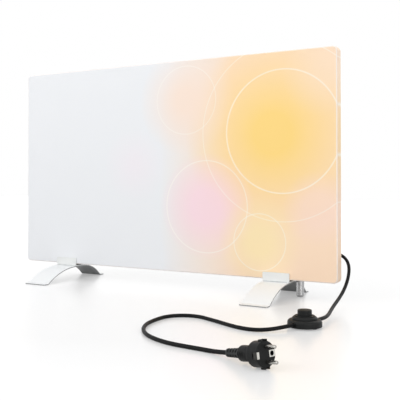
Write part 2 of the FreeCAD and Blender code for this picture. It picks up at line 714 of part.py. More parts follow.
def terminal_box_base():
    """The moulded tray of the box, with corner bosses and the shelf of the tip-over switch."""
    rim_y = BOX_BACK_Y - BOX_LID
    outer = plate((BOX_LEFT, COVER_BACK_Y, BOX_BOTTOM), (BOX_RIGHT, rim_y, BOX_TOP), BOX_CORNER_RADIUS)
    room_low = (BOX_LEFT + BOX_WALL, BOX_FLOOR_Y, BOX_BOTTOM + BOX_WALL)
    room_high = (BOX_RIGHT - BOX_WALL, rim_y + OVERRUN, BOX_TOP - BOX_WALL)
    base = outer.cut(plate(room_low, room_high, BOX_CORNER_RADIUS - BOX_WALL))
    boss_length = rim_y - COVER_BACK_Y - BOX_LID_LIP
    bosses = []
    for x, z in box_screw_places():
        bosses.append(rod(point(x, COVER_BACK_Y, z), BACKWARD, BOX_BOSS_RADIUS, boss_length))
    shelf_low = (PLUNGER_X - SHELF_WIDTH / 2, BOX_FLOOR_Y - BOX_WALL / 2, SHELF_Z)
    shelf_high = (PLUNGER_X + SHELF_WIDTH / 2, PLUNGER_Y + SHELF_BEYOND_PLUNGER, SHELF_TOP_Z)
    base = fused([base, block(shelf_low, shelf_high)] + bosses)
    base = base.cut(hole_across(point(PLUNGER_X, PLUNGER_Y, SHELF_TOP_Z), UPWARD, SHELF_HOLE_RADIUS))
    base = base.cut(hole_across(point(PLUNGER_X, PLUNGER_Y, BOX_BOTTOM), UPWARD, BUSH_OUTER_RADIUS))
    base = base.cut(hole_across(point(BOX_RIGHT, GLAND_Y, GLAND_HEIGHT), RIGHTWARD, GLAND_BARREL_RADIUS))
    base = base.cut(grommet_hole(GROMMET_RADIUS, COVER_BACK_Y - OVERRUN, BOX_FLOOR_Y + OVERRUN))
    for x, z in box_screw_places():
        start = point(x, COVER_BACK_Y - OVERRUN, z)
        base = base.cut(rod(start, BACKWARD, BOX_SCREW_RADIUS + FIT_GAP, BOX_DEPTH + OVERRUN))
    return base


def terminal_box_lid():
    """The lid on the back of the box, with a locating lip inside the walls."""
    rim_y = BOX_BACK_Y - BOX_LID
    lid = plate((BOX_LEFT, rim_y, BOX_BOTTOM), (BOX_RIGHT, BOX_BACK_Y, BOX_TOP), BOX_CORNER_RADIUS)
    rims = [e for e in lid.Edges if abs(e.BoundBox.YMin - BOX_BACK_Y) < FIT_GAP]
    lid = lid.makeFillet(BOX_LID_ROUND, rims)
    skirt = BOX_WALL + PART_GAP
    lip_low = (BOX_LEFT + skirt, rim_y - BOX_LID_LIP + PART_GAP, BOX_BOTTOM + skirt)
    lip_high = (BOX_RIGHT - skirt, rim_y, BOX_TOP - skirt)
    lip = plate(lip_low, lip_high, BOX_CORNER_RADIUS - BOX_WALL)
    inset = skirt + BOX_WALL
    hollow_low = (BOX_LEFT + inset, rim_y - BOX_LID_LIP - OVERRUN, BOX_BOTTOM + inset)
    lid = fused([lid, lip.cut(block(hollow_low, (BOX_RIGHT - inset, rim_y, BOX_TOP - inset)))])
    for x, z in box_screw_places():
        start = point(x, rim_y - BOX_LID_LIP - OVERRUN, z)
        lid = lid.cut(rod(start, BACKWARD, BOX_SCREW_RADIUS + FIT_GAP, BOX_LID + BOX_LID_LIP + OVERRUN * 2))
    return lid


def terminal_box_screws():
    """The long screws that hold lid and box to the rear cover."""
    sizes = (BOX_SCREW_RADIUS, BOX_DEPTH + COVER_SHEET, BOX_SCREW_HEAD_RADIUS, BOX_SCREW_HEAD_HEIGHT)
    screws = [pan_screw(point(x, BOX_BACK_Y, z), *sizes) for x, z in box_screw_places()]
    return Part.makeCompound(screws)


def terminal_block():
    """The terminal block: a pole for each core, with a bore at each end and a screw on top."""
    low_z = GLAND_HEIGHT - POLE_COUNT * POLE_PITCH / 2
    high_z = GLAND_HEIGHT + POLE_COUNT * POLE_PITCH / 2
    top_y = BOX_FLOOR_Y + BLOCK_DEPTH
    body = block((BLOCK_LEFT, BOX_FLOOR_Y, low_z), (BLOCK_RIGHT, top_y, high_z))
    for index in range(POLE_COUNT):
        z = pole_height(index - (POLE_COUNT - 1) / 2)
        body = body.cut(rod(point(BLOCK_LEFT, POLE_Y, z), RIGHTWARD, POLE_BORE_RADIUS, POLE_BORE_DEPTH))
        body = body.cut(rod(point(BLOCK_RIGHT, POLE_Y, z), LEFTWARD, POLE_BORE_RADIUS, POLE_BORE_DEPTH))
        for x in (BLOCK_LEFT + POLE_BORE_DEPTH, BLOCK_RIGHT - POLE_BORE_DEPTH):
            body = body.cut(rod(point(x, top_y, z), FRONTWARD, POLE_SCREW_RADIUS, POLE_SCREW_DEPTH))
    return body


def mains_cores():
    """The three cores of the lead, from the gland to the terminal block."""
    start_x = BOX_RIGHT - BOX_WALL - GLAND_NUT_THICKNESS
    clear_y = PLUNGER_Y + COLLAR_RADIUS + CORE_BEHIND_SPRING + CORE_DIAMETER / 2
    cores = []
    for index in range(POLE_COUNT):
        side = index - (POLE_COUNT - 1) / 2
        z = GLAND_HEIGHT + side * CORE_SPREAD
        points = [
            (start_x, GLAND_Y, z),
            (start_x - CORE_DIAMETER, GLAND_Y, z),
            (PLUNGER_X + SHELF_WIDTH / 2, clear_y, z),
            (PLUNGER_X - SHELF_WIDTH / 2 - CORE_DIAMETER, clear_y, (z + pole_height(side)) / 2),
            (BLOCK_RIGHT + LEAD_BEND, POLE_Y, pole_height(side)),
            (BLOCK_RIGHT - POLE_BORE_DEPTH + PART_GAP, POLE_Y, pole_height(side)),
        ]
        cores.append(bent_lead(points, CORE_DIAMETER))
    return Part.makeCompound(cores)


def cord_gland():
    """The bend relief of the lead: a barrel in the box wall, a collar and a ribbed taper."""
    barrel_x = BOX_RIGHT - BOX_WALL - GLAND_NUT_THICKNESS
    taper_x = BOX_RIGHT + GLAND_COLLAR_LENGTH
    barrel_start = point(barrel_x, GLAND_Y, GLAND_HEIGHT)
    barrel = rod(barrel_start, RIGHTWARD, GLAND_BARREL_RADIUS, BOX_RIGHT - barrel_x)
    collar_start = point(BOX_RIGHT, GLAND_Y, GLAND_HEIGHT)
    collar = rod(collar_start, RIGHTWARD, GLAND_COLLAR_RADIUS, GLAND_COLLAR_LENGTH)
    taper_start = point(taper_x, GLAND_Y, GLAND_HEIGHT)
    taper_sizes = (GLAND_TAPER_RADIUS, GLAND_MOUTH_RADIUS, GLAND_TAPER_LENGTH)
    taper = Part.makeCone(*taper_sizes, taper_start, RIGHTWARD)
    gland = fused([barrel, collar, taper])
    pitch = GLAND_TAPER_LENGTH / (GLAND_GROOVE_COUNT + 1)
    for index in range(GLAND_GROOVE_COUNT):
        along = pitch * (index + 1) - GLAND_GROOVE_WIDTH / 2
        slope = (GLAND_TAPER_RADIUS - GLAND_MOUTH_RADIUS) / GLAND_TAPER_LENGTH
        core = GLAND_TAPER_RADIUS - slope * along - GLAND_GROOVE_DEPTH
        start = point(taper_x + along, GLAND_Y, GLAND_HEIGHT)
        ring = rod(start, RIGHTWARD, GLAND_COLLAR_RADIUS, GLAND_GROOVE_WIDTH)
        gland = gland.cut(ring.cut(rod(start, RIGHTWARD, core, GLAND_GROOVE_WIDTH)))
    return gland


def gland_nut():
    """The hexagon nut inside the box wall."""
    x = BOX_RIGHT - BOX_WALL - GLAND_NUT_THICKNESS
    corner = GLAND_NUT_ACROSS / math.sqrt(3)
    corners = []
    for index in range(HEXAGON_SIDES):
        angle = (index + HALF_SHARE) * 2 * math.pi / HEXAGON_SIDES
        offset = point(0, corner * math.cos(angle), corner * math.sin(angle))
        corners.append(point(x, GLAND_Y, GLAND_HEIGHT) + offset)
    hexagon = Part.Face(Part.makePolygon(corners + corners[:1]))
    nut = hexagon.extrude(RIGHTWARD * GLAND_NUT_THICKNESS)
    middle = point(x + GLAND_NUT_THICKNESS / 2, GLAND_Y, GLAND_HEIGHT)
    return nut.cut(hole_across(middle, RIGHTWARD, GLAND_BARREL_RADIUS))


def tip_guide_bush():
    """The flanged bush in the floor of the box that guides the plunger."""
    seat = point(PLUNGER_X, PLUNGER_Y, BOX_BOTTOM)
    flange = rod(seat, DOWNWARD, BUSH_FLANGE_RADIUS, BUSH_FLANGE_HEIGHT)
    barrel = rod(seat, UPWARD, BUSH_OUTER_RADIUS, BUSH_TOP_Z - BOX_BOTTOM)
    start = point(PLUNGER_X, PLUNGER_Y, BOX_BOTTOM - BUSH_FLANGE_HEIGHT - OVERRUN)
    bore = rod(start, UPWARD, PLUNGER_RADIUS + RUNNING_GAP, BUSH_TOP_Z - start.z + OVERRUN)
    return fused([flange, barrel]).cut(bore)


def tip_plunger():
    """The steel plunger that stands on the floor, with a stop collar and a stub for the switch."""
    shaft = rod(point(PLUNGER_X, PLUNGER_Y, 0), UPWARD, PLUNGER_RADIUS, COLLAR_Z)
    tip = [e for e in shaft.Edges if e.BoundBox.ZMax < FIT_GAP]
    shaft = shaft.makeFillet(PLUNGER_TIP_ROUND, tip)
    collar = rod(point(PLUNGER_X, PLUNGER_Y, COLLAR_Z), UPWARD, COLLAR_RADIUS, COLLAR_HEIGHT)
    stub_top = SHELF_TOP_Z - MICROSWITCH_BUTTON_LENGTH - PART_GAP
    stub = rod(point(PLUNGER_X, PLUNGER_Y, TIP_SPRING_Z), UPWARD, STUB_RADIUS, stub_top - TIP_SPRING_Z)
    return fused([shaft, collar, stub])


def tip_spring():
    """The spring that pushes the plunger down, between its collar and the shelf."""
    foot = point(PLUNGER_X, PLUNGER_Y, TIP_SPRING_Z)
    return spring(foot, TIP_SPRING_WIRE, TIP_SPRING_RADIUS, TIP_SPRING_LENGTH, TIP_SPRING_TURNS)


def tip_microswitch():
    """The small switch on the shelf, with its button over the plunger's stub and three tags."""
    top_z = SHELF_TOP_Z + MICROSWITCH_HEIGHT
    low = (PLUNGER_X - MICROSWITCH_WIDTH / 2, PLUNGER_Y - MICROSWITCH_DEPTH / 2, SHELF_TOP_Z)
    high = (PLUNGER_X + MICROSWITCH_WIDTH / 2, PLUNGER_Y + MICROSWITCH_DEPTH / 2, top_z)
    shapes = [block(low, high)]
    shapes.append(rod(point(PLUNGER_X, PLUNGER_Y, SHELF_TOP_Z), DOWNWARD,
                      MICROSWITCH_BUTTON_RADIUS, MICROSWITCH_BUTTON_LENGTH))
    for side in (-1, 0, 1):
        x = PLUNGER_X + side * (MICROSWITCH_WIDTH / 2 - MICROSWITCH_TAG_WIDTH)
        near_y = PLUNGER_Y - MICROSWITCH_TAG_WIDTH / 2
        far_y = PLUNGER_Y + MICROSWITCH_TAG_WIDTH / 2
        half = MICROSWITCH_TAG_THICKNESS / 2
        tag_high = (x + half, far_y, top_z + MICROSWITCH_TAG_LENGTH)
        shapes.append(block((x - half, near_y, top_z), tag_high))
    return fused(shapes)


def strap_side(offset, crest_front, crest_back):
    """Corners and arcs of one face of the strap, from the front toe to the rear toe."""
    middle = FOOT_SHEET / 2
    rise = FOOT_CREST_HEIGHT - FOOT_SHEET
    steps = []
    for end, crest in ((-FOOT_LENGTH / 2, crest_front), (FOOT_LENGTH / 2, crest_back)):
        way = 1 if crest > end else -1
        flat_end = end + way * TOE_FLAT
        run = abs(crest - flat_end)
        turn = 2 * math.atan2(rise, run)
        arch_radius = run / math.sin(turn) - TOE_BEND_RADIUS
        bend = TOE_BEND_RADIUS - offset
        arch = arch_radius + offset
        side = [point(0, end, middle + offset)]
        for angle in (0, turn / 2, turn):
            centre = point(0, flat_end, middle + TOE_BEND_RADIUS)
            side.append(centre + point(0, way * bend * math.sin(angle), -bend * math.cos(angle)))
        for angle in (turn / 2, 0):
            centre = point(0, crest, middle + rise - arch_radius)
            side.append(centre + point(0, -way * arch * math.sin(angle), arch * math.cos(angle)))
        steps.append(side)
    return steps


def foot_arch(x):
    """A bent strap: flat toes, two arcs and a level crest under the panel."""
    crest_front = PANEL_SETBACK - FOOT_CREST_FLAT / 2
    crest_back = PANEL_SETBACK + FOOT_CREST_FLAT / 2
    top_front, top_back = strap_side(FOOT_SHEET / 2, crest_front, crest_back)
    low_front, low_back = strap_side(-FOOT_SHEET / 2, crest_front, crest_back)
    steps = [top_front[1], (top_front[2], top_front[3]), (top_front[4], top_front[5])]
    steps += [top_back[5], (top_back[4], top_back[3]), (top_back[2], top_back[1]), top_back[0]]
    steps += [low_back[0], low_back[1], (low_back[2], low_back[3]), (low_back[4], low_back[5])]
    steps += [low_front[5], (low_front[4], low_front[3]), (low_front[2], low_front[1]), low_front[0]]
    strap = Part.Face(outline(top_front[0], steps)).extrude(RIGHTWARD * FOOT_WIDTH)
    strap.translate(RIGHTWARD * (x - FOOT_WIDTH / 2))
    ends = [e for e in strap.Edges if abs(e.Length - FOOT_SHEET) < FIT_GAP
            and e.tangentAt(e.FirstParameter).cross(UPWARD).Length < FIT_GAP]
    strap = strap.makeFillet(TOE_CORNER_RADIUS, ends)
    for place in rivet_places(x):
        strap = strap.cut(hole_across(place, UPWARD, RIVET_RADIUS))
    return strap


def rivet_places(x):
    """The rivets of one foot, at the top of the strap's crest."""
    return [point(x + side * RIVET_SPACING / 2, PANEL_SETBACK, FOOT_CREST_HEIGHT) for side in (-1, 1)]


def clamp_places(x):
    """The clamp screws of one foot, at the inner face of the clip's rear lip."""
    z = PANEL_BOTTOM_Z + CLIP_OVERLAP - CLAMP_SCREW_BELOW_TOP
    return [point(x + side * CLAMP_SCREW_SPACING / 2, CLIP_BACK_Y, z) for side in (-1, 1)]


def lower_edges(shape, z):
    """The edges of a box that run from left to right at a height."""
    edges = [e for e in shape.Edges if abs(e.BoundBox.ZMax - z) < FIT_GAP]
    return [e for e in edges if e.tangentAt(e.FirstParameter).cross(RIGHTWARD).Length < FIT_GAP]


def foot_clip(x):
    """The bent channel that holds the panel's lower edge: a base, a front tab and a rear lip."""
    top_z = PANEL_BOTTOM_Z + CLIP_OVERLAP
    half = FOOT_WIDTH / 2
    low = (x - half, CLIP_FRONT_Y - CLIP_SHEET, FOOT_CREST_HEIGHT)
    outer = block(low, (x + half, CLIP_BACK_Y + CLIP_SHEET, top_z))
    outer = outer.makeFillet(CLIP_BEND_RADIUS, lower_edges(outer, FOOT_CREST_HEIGHT))
    floor_z = FOOT_CREST_HEIGHT + CLIP_SHEET
    low = (x - half - OVERRUN, CLIP_FRONT_Y, floor_z)
    room = block(low, (x + half + OVERRUN, CLIP_BACK_Y, top_z + OVERRUN))
    clip = outer.cut(room.makeFillet(CLIP_BEND_RADIUS - CLIP_SHEET, lower_edges(room, floor_z)))
    tips = []
    for edge in clip.Edges:
        along = edge.tangentAt(edge.FirstParameter).cross(BACKWARD).Length < FIT_GAP
        if along and edge.BoundBox.ZMin > top_z - FIT_GAP:
            tips.append(edge)
    clip = clip.makeFillet(CLIP_CORNER_RADIUS, tips)
    for place in rivet_places(x):
        clip = clip.cut(hole_across(place, UPWARD, RIVET_RADIUS))
    for place in clamp_places(x):
        clip = clip.cut(hole_across(place, BACKWARD, CLAMP_SCREW_RADIUS))
    return clip


def foot_pad(x):
    """The silicone pad between the clip and the panel's lower edge."""
    half = FOOT_WIDTH / 2 - PAD_INSET
    low_z = FOOT_CREST_HEIGHT + CLIP_SHEET
    low = (x - half, PANEL_FRONT_Y + PAD_INSET, low_z)
    pad = block(low, (x + half, PANEL_BACK_Y - PAD_INSET, PANEL_BOTTOM_Z))
    depth = CLIP_SHEET + PAD_THICKNESS + OVERRUN
    for place in rivet_places(x):
        pad = pad.cut(rod(place, UPWARD, RIVET_HEAD_RADIUS + PART_GAP, depth))
    return pad


def foot_rivets():
    """The rivets that join each clip to its strap, with a domed head below and a flat one above."""
    rivets = []
    sizes = (RIVET_RADIUS, FOOT_SHEET + CLIP_SHEET, RIVET_HEAD_RADIUS, RIVET_HEAD_HEIGHT)
    for side in (-1, 1):
        for place in rivet_places(side * FOOT_SPACING / 2):
            low = domed_pin(place + DOWNWARD * FOOT_SHEET, UPWARD, *sizes)
            upset = rod(place + UPWARD * CLIP_SHEET, UPWARD, RIVET_HEAD_RADIUS, RIVET_HEAD_HEIGHT)
            rivets.append(fused([low, upset]))
    return Part.makeCompound(rivets)


def foot_clamp_screws():
    """The screws in each rear lip that press on the rear cover."""
    screws = []
    for side in (-1, 1):
        for place in clamp_places(side * FOOT_SPACING / 2):
            seat = place + BACKWARD * CLIP_SHEET
            length = seat.y - COVER_BACK_Y
            screws.append(pan_screw(seat, CLAMP_SCREW_RADIUS, length,
                                    CLAMP_SCREW_HEAD_RADIUS, CLAMP_SCREW_HEAD_HEIGHT))
    return Part.makeCompound(screws)


def switch_place(shape):
    """Puts a shape of the foot switch from its own frame to its place on the floor."""
    shape.rotate(ORIGIN, UPWARD, SWITCH_TURN)
    shape.translate(point(SWITCH_X, SWITCH_Y, 0))
    return shape


def switch_point(along):
    """A point on the lead's axis through the foot switch, in the part's frame."""
    angle = math.radians(SWITCH_TURN)
    return (SWITCH_X + along * math.cos(angle), SWITCH_Y + along * math.sin(angle), SWITCH_ENTRY_HEIGHT)


def around(circle, angles, z):
    """Points on a circle about the foot switch's axis."""
    turns = [math.radians(angle) for angle in angles]
    return [point(circle * math.cos(turn), circle * math.sin(turn), z) for turn in turns]


def switch_pads():
    """The rubber pads that the foot switch stands on."""
    places = around(SWITCH_PAD_CIRCLE, SWITCH_PAD_ANGLES, 0)
    return Part.makeCompound([rod(place, UPWARD, SWITCH_PAD_RADIUS, SWITCH_SKIRT) for place in places])


def switch_screw(place, gap):
    """A countersunk screw under the base, or its hole when a gap is given."""
    shank_radius = SWITCH_SCREW_RADIUS + gap
    head_radius = SWITCH_SCREW_HEAD_RADIUS + gap
    head = Part.makeCone(head_radius, shank_radius, SWITCH_SCREW_HEAD_HEIGHT, place, UPWARD)
    return fused([head, rod(place, UPWARD, shank_radius, SWITCH_SCREW_LENGTH + gap)])


def switch_base():
    """The base plate, with a locating rim that is notched for the two bushings."""
    radius = SWITCH_RADIUS - SWITCH_WALL - SWITCH_BASE_GAP
    disc = rod(point(0, 0, SWITCH_SKIRT), UPWARD, radius, SWITCH_BASE_THICKNESS)
    top = point(0, 0, SWITCH_BASE_TOP)
    rim = rod(top, UPWARD, radius, SWITCH_BASE_RIM)
    rim = rim.cut(rod(top, UPWARD, radius - SWITCH_BASE_RIM_WALL, SWITCH_BASE_RIM + OVERRUN))
    base = fused([disc, rim])
    notch_start = point(-SWITCH_RADIUS, 0, SWITCH_ENTRY_HEIGHT)
    notch = rod(notch_start, RIGHTWARD, BUSHING_FLANGE_RADIUS + PART_GAP, SWITCH_RADIUS * 2)
    reach = SWITCH_RADIUS - SWITCH_WALL - BUSHING_FLANGE_LENGTH - PART_GAP
    middle = rod(ORIGIN, UPWARD, reach, SWITCH_TOP)
    base = base.cut(notch.cut(middle))
    for place in around(SWITCH_SCREW_CIRCLE, SWITCH_SCREW_ANGLES, SWITCH_SKIRT):
        base = base.cut(switch_screw(place, FIT_GAP))
    return base


def quarter_middle(inner, low_z, outer, high_z):
    """The middle of a rounded shoulder that turns from upright at the outside to level at the top."""
    diagonal = math.sqrt(HALF_SHARE)
    return point(inner + (outer - inner) * diagonal, 0, low_z + (high_z - low_z) * diagonal)


def switch_dome(inset):
    """The stepped dome of the foot switch, drawn in all over by an inset."""
    radius = SWITCH_RADIUS - inset
    rim_z = SWITCH_RIM_HEIGHT - inset
    shoulder = SWITCH_SHOULDER_RADIUS - inset
    shoulder_z = SWITCH_SHOULDER_HEIGHT - inset
    step = SWITCH_STEP_RADIUS - inset
    step_z = shoulder_z + SWITCH_STEP_RISE
    dome = SWITCH_DOME_RADIUS - inset
    dome_z = step_z + SWITCH_DOME_RISE
    top_z = dome_z + SWITCH_COLLAR_RISE
    shoulder_mid = quarter_middle(shoulder, rim_z, radius, shoulder_z)
    dome_mid = quarter_middle(dome, step_z, step, dome_z)
    steps = [
        point(radius, 0, SWITCH_SKIRT),
        point(radius, 0, rim_z),
        (shoulder_mid, point(shoulder, 0, shoulder_z)),
        point(step, 0, shoulder_z),
        point(step, 0, step_z),
        (dome_mid, point(dome, 0, dome_z)),
        point(dome, 0, top_z),
        point(0, 0, top_z),
    ]
    return turned(point(0, 0, SWITCH_SKIRT), steps, UPWARD)


def switch_housing():
    """The upper shell: a stepped dome with a hole for the button and screw bosses inside."""
    shell = switch_dome(0).cut(switch_dome(SWITCH_WALL))
    roof_z = SWITCH_SHOULDER_HEIGHT - SWITCH_WALL / 2
    places = around(SWITCH_SCREW_CIRCLE, SWITCH_SCREW_ANGLES, SWITCH_BASE_TOP)
    boss_height = roof_z - SWITCH_BASE_TOP
    shell = fused([shell] + [rod(place, UPWARD, SWITCH_BOSS_RADIUS, boss_height) for place in places])
    shell = shell.cut(rod(ORIGIN, UPWARD, BUTTON_RADIUS + PART_GAP, SWITCH_TOP + OVERRUN))
    ways = rod(point(-SWITCH_RADIUS - OVERRUN, 0, SWITCH_ENTRY_HEIGHT), RIGHTWARD,
               BUSHING_RADIUS + FIT_GAP, SWITCH_RADIUS * 2 + OVERRUN * 2)
    middle = rod(ORIGIN, UPWARD, SWITCH_SHOULDER_RADIUS, SWITCH_TOP)
    shell = shell.cut(ways.cut(middle))
    for place in around(SWITCH_SCREW_CIRCLE, SWITCH_SCREW_ANGLES, SWITCH_SKIRT):
        shell = shell.cut(switch_screw(place, FIT_GAP))
    return shell


def switch_bushings():
    """The two rubber bushings where the lead goes in and out of the foot switch."""
    inner_x = SWITCH_RADIUS - SWITCH_WALL - BUSHING_FLANGE_LENGTH
    inside = switch_dome(SWITCH_WALL + FIT_GAP)
    length = SWITCH_WALL + BUSHING_FLANGE_LENGTH + BUSHING_STANDOUT
    parts = []
    for way in (-1, 1):
        start = point(way * inner_x, 0, SWITCH_ENTRY_HEIGHT)
        flange = rod(start, RIGHTWARD * way, BUSHING_FLANGE_RADIUS, BUSHING_FLANGE_LENGTH).common(inside)
        parts.append(fused([flange, rod(start, RIGHTWARD * way, BUSHING_RADIUS, length)]))
    return Part.makeCompound(parts)


def switch_screws():
    """The screws that hold the base to the shell."""
    places = around(SWITCH_SCREW_CIRCLE, SWITCH_SCREW_ANGLES, SWITCH_SKIRT)
    return Part.makeCompound([switch_screw(place, 0) for place in places])


def switch_button():
    """The pedal button: a hollow cap with a crowned top and a flange that keeps it in."""
    shoulder_z = BUTTON_TOP - BUTTON_CROWN
    flange_radius = BUTTON_RADIUS + BUTTON_FLANGE - PART_GAP * 2
    crown_mid = crown_point(BUTTON_RADIUS / 2, BUTTON_RADIUS, BUTTON_CROWN, shoulder_z)
    inner = BUTTON_RADIUS - BUTTON_WALL
    steps = [
        point(flange_radius, 0, BUTTON_FLANGE_BOTTOM),
        point(flange_radius, 0, BUTTON_FLANGE_TOP),
        point(BUTTON_RADIUS, 0, BUTTON_FLANGE_TOP),
        point(BUTTON_RADIUS, 0, shoulder_z),
        (crown_mid, point(0, 0, BUTTON_TOP)),
        point(0, 0, BUTTON_ROOF_HEIGHT),
        point(inner, 0, BUTTON_ROOF_HEIGHT),
    ]
    cap = turned(point(inner, 0, BUTTON_FLANGE_BOTTOM), steps, UPWARD)
    level = [e for e in cap.Edges if e.BoundBox.ZLength < FIT_GAP]
    rims = [e for e in level if abs(e.BoundBox.ZMax - shoulder_z) < FIT_GAP]
    return cap.makeFillet(BUTTON_ROUND, rims)


def crown_point(at, radius, crown, base_z):
    """A point on a shallow spherical crown of a given radius and height."""
    ball = (radius ** 2 + crown ** 2) / (2 * crown)
    return point(at, 0, base_z + crown - ball + math.sqrt(ball ** 2 - at ** 2))


def switch_mechanism():
    """The latching contact block on the base, with its stem and four tags."""
    low = (-MECHANISM_LENGTH / 2, -MECHANISM_WIDTH / 2, SWITCH_BASE_TOP)
    high = (MECHANISM_LENGTH / 2, MECHANISM_WIDTH / 2, MECHANISM_TOP)
    stem_foot = point(0, 0, MECHANISM_TOP)
    shapes = [block(low, high), rod(stem_foot, UPWARD, MECHANISM_STEM_RADIUS, MECHANISM_STEM_LENGTH)]
    middle_z = (SWITCH_BASE_TOP + MECHANISM_TOP) / 2
    for way in (-1, 1):
        for side in (-1, 1):
            x = way * (MECHANISM_LENGTH / 2 + MECHANISM_TAG_LENGTH / 2)
            y = side * MECHANISM_WIDTH / 4
            high_z = middle_z + MECHANISM_TAG_THICKNESS
            tag_low = (x - MECHANISM_TAG_LENGTH / 2, y - MECHANISM_TAG_WIDTH / 2, middle_z)
            tag_high = (x + MECHANISM_TAG_LENGTH / 2, y + MECHANISM_TAG_WIDTH / 2, high_z)
            shapes.append(block(tag_low, tag_high))
    return fused(shapes)


def switch_spring():
    """The spring that lifts the button, between the contact block and the button's roof."""
    height = BUTTON_ROOF_HEIGHT - MECHANISM_TOP
    foot = point(0, 0, MECHANISM_TOP)
    return spring(foot, SWITCH_SPRING_WIRE, SWITCH_SPRING_RADIUS, height, SWITCH_SPRING_TURNS)


def plug_boot():
    """The slotted bend relief of the plug: rings on two spines round a core."""
    boot = Part.makeCone(BOOT_TAIL_RADIUS, BOOT_ROOT_RADIUS, BOOT_LENGTH, ORIGIN, RIGHTWARD)
    for index in range(BOOT_SLOT_COUNT):
        start = point(BOOT_SLOT_START + index * BOOT_SLOT_PITCH, 0, 0)
        ring = rod(start, RIGHTWARD, BOOT_ROOT_RADIUS + OVERRUN, BOOT_SLOT_WIDTH)
        ring = ring.cut(rod(start, RIGHTWARD, BOOT_CORE_RADIUS, BOOT_SLOT_WIDTH))
        reach = BOOT_ROOT_RADIUS + OVERRUN
        end_x = start.x + BOOT_SLOT_WIDTH
        spine = block((start.x, -reach, -BOOT_SPINE / 2), (end_x, reach, BOOT_SPINE / 2))
        boot = boot.cut(ring.cut(spine))
    return boot


def pin_places():
    """The middles of the two pins on the plug's face."""
    return [point(FACE_X, 0, side * PIN_SPACING / 2) for side in (-1, 1)]


def plug_body():
    """The moulded plug: a neck, a flared shoulder and a round head with guide lands and recesses."""
    shoulder_radius = HEAD_RADIUS - HEAD_STEP
    diagonal = math.sqrt(HALF_SHARE)
    flare = point(SHOULDER_X + SHOULDER_LENGTH * diagonal, 0,
                  NECK_RADIUS + (shoulder_radius - NECK_RADIUS) * (1 - diagonal))
    steps = [
        point(NECK_X, 0, NECK_RADIUS),
        point(SHOULDER_X, 0, NECK_RADIUS),
        (flare, point(HEAD_X, 0, shoulder_radius)),
        point(HEAD_X, 0, HEAD_RADIUS),
        point(FACE_X, 0, HEAD_RADIUS),
        point(FACE_X, 0, 0),
    ]
    body = turned(point(NECK_X, 0, 0), steps, RIGHTWARD)
    rings = [e for e in body.Edges if e.BoundBox.XLength < FIT_GAP]
    rims = [e for e in rings if e.BoundBox.XMin > FACE_X - FIT_GAP or e.BoundBox.XMax < NECK_X + FIT_GAP]
    body = body.makeFillet(HEAD_ROUND, rims)
    for side in (-1, 1):
        body = body.fuse(guide_land(side))
        floor_z = HEAD_RADIUS + LAND_RISE - GUIDE_DEPTH
        low_z, high_z = sorted((side * floor_z, side * (HEAD_RADIUS + OVERRUN)))
        guide_low = (FACE_X - GUIDE_LENGTH, -GUIDE_WIDTH / 2, low_z)
        body = body.cut(block(guide_low, (FACE_X + OVERRUN, GUIDE_WIDTH / 2, high_z)))
        low_y, high_y = sorted((side * (NECK_RADIUS - GRIP_DEPTH), side * (NECK_RADIUS + OVERRUN)))
        for index in range(GRIP_COUNT):
            x = NECK_X + NECK_LENGTH / 2 + (index - (GRIP_COUNT - 1) / 2) * GRIP_PITCH
            grip_low = (x - GRIP_WIDTH / 2, low_y, -NECK_RADIUS)
            body = body.cut(block(grip_low, (x + GRIP_WIDTH / 2, high_y, NECK_RADIUS)))
    for strip in earth_strips(FIT_GAP):
        body = body.cut(strip)
    for place in pin_places():
        root = place + LEFTWARD * (PIN_ROOT + FIT_GAP)
        body = body.cut(rod(root, RIGHTWARD, PIN_ROOT_RADIUS + FIT_GAP, PIN_ROOT + OVERRUN))
    socket = point(FACE_X - EARTH_SOCKET_DEPTH, EARTH_SOCKET_OFFSET, 0)
    return body.cut(rod(socket, RIGHTWARD, EARTH_SOCKET_RADIUS, EARTH_SOCKET_DEPTH + OVERRUN))


def guide_land(side):
    """The raised land round the guide groove at the top or the bottom of the head."""
    top_z = HEAD_RADIUS + LAND_RISE
    low_z, high_z = sorted((side * (HEAD_RADIUS - GUIDE_DEPTH), side * top_z))
    half = GUIDE_WIDTH / 2 + LAND_WALL
    land = block((FACE_X - GUIDE_LENGTH - LAND_WALL, -half, low_z), (FACE_X, half, high_z))
    level = [e for e in land.Edges if e.BoundBox.ZLength < FIT_GAP and e.BoundBox.XMin < FACE_X - FIT_GAP]
    rims = [e for e in level if abs(e.BoundBox.ZMin - side * top_z) < FIT_GAP]
    return land.makeFillet(LAND_ROUND, rims)


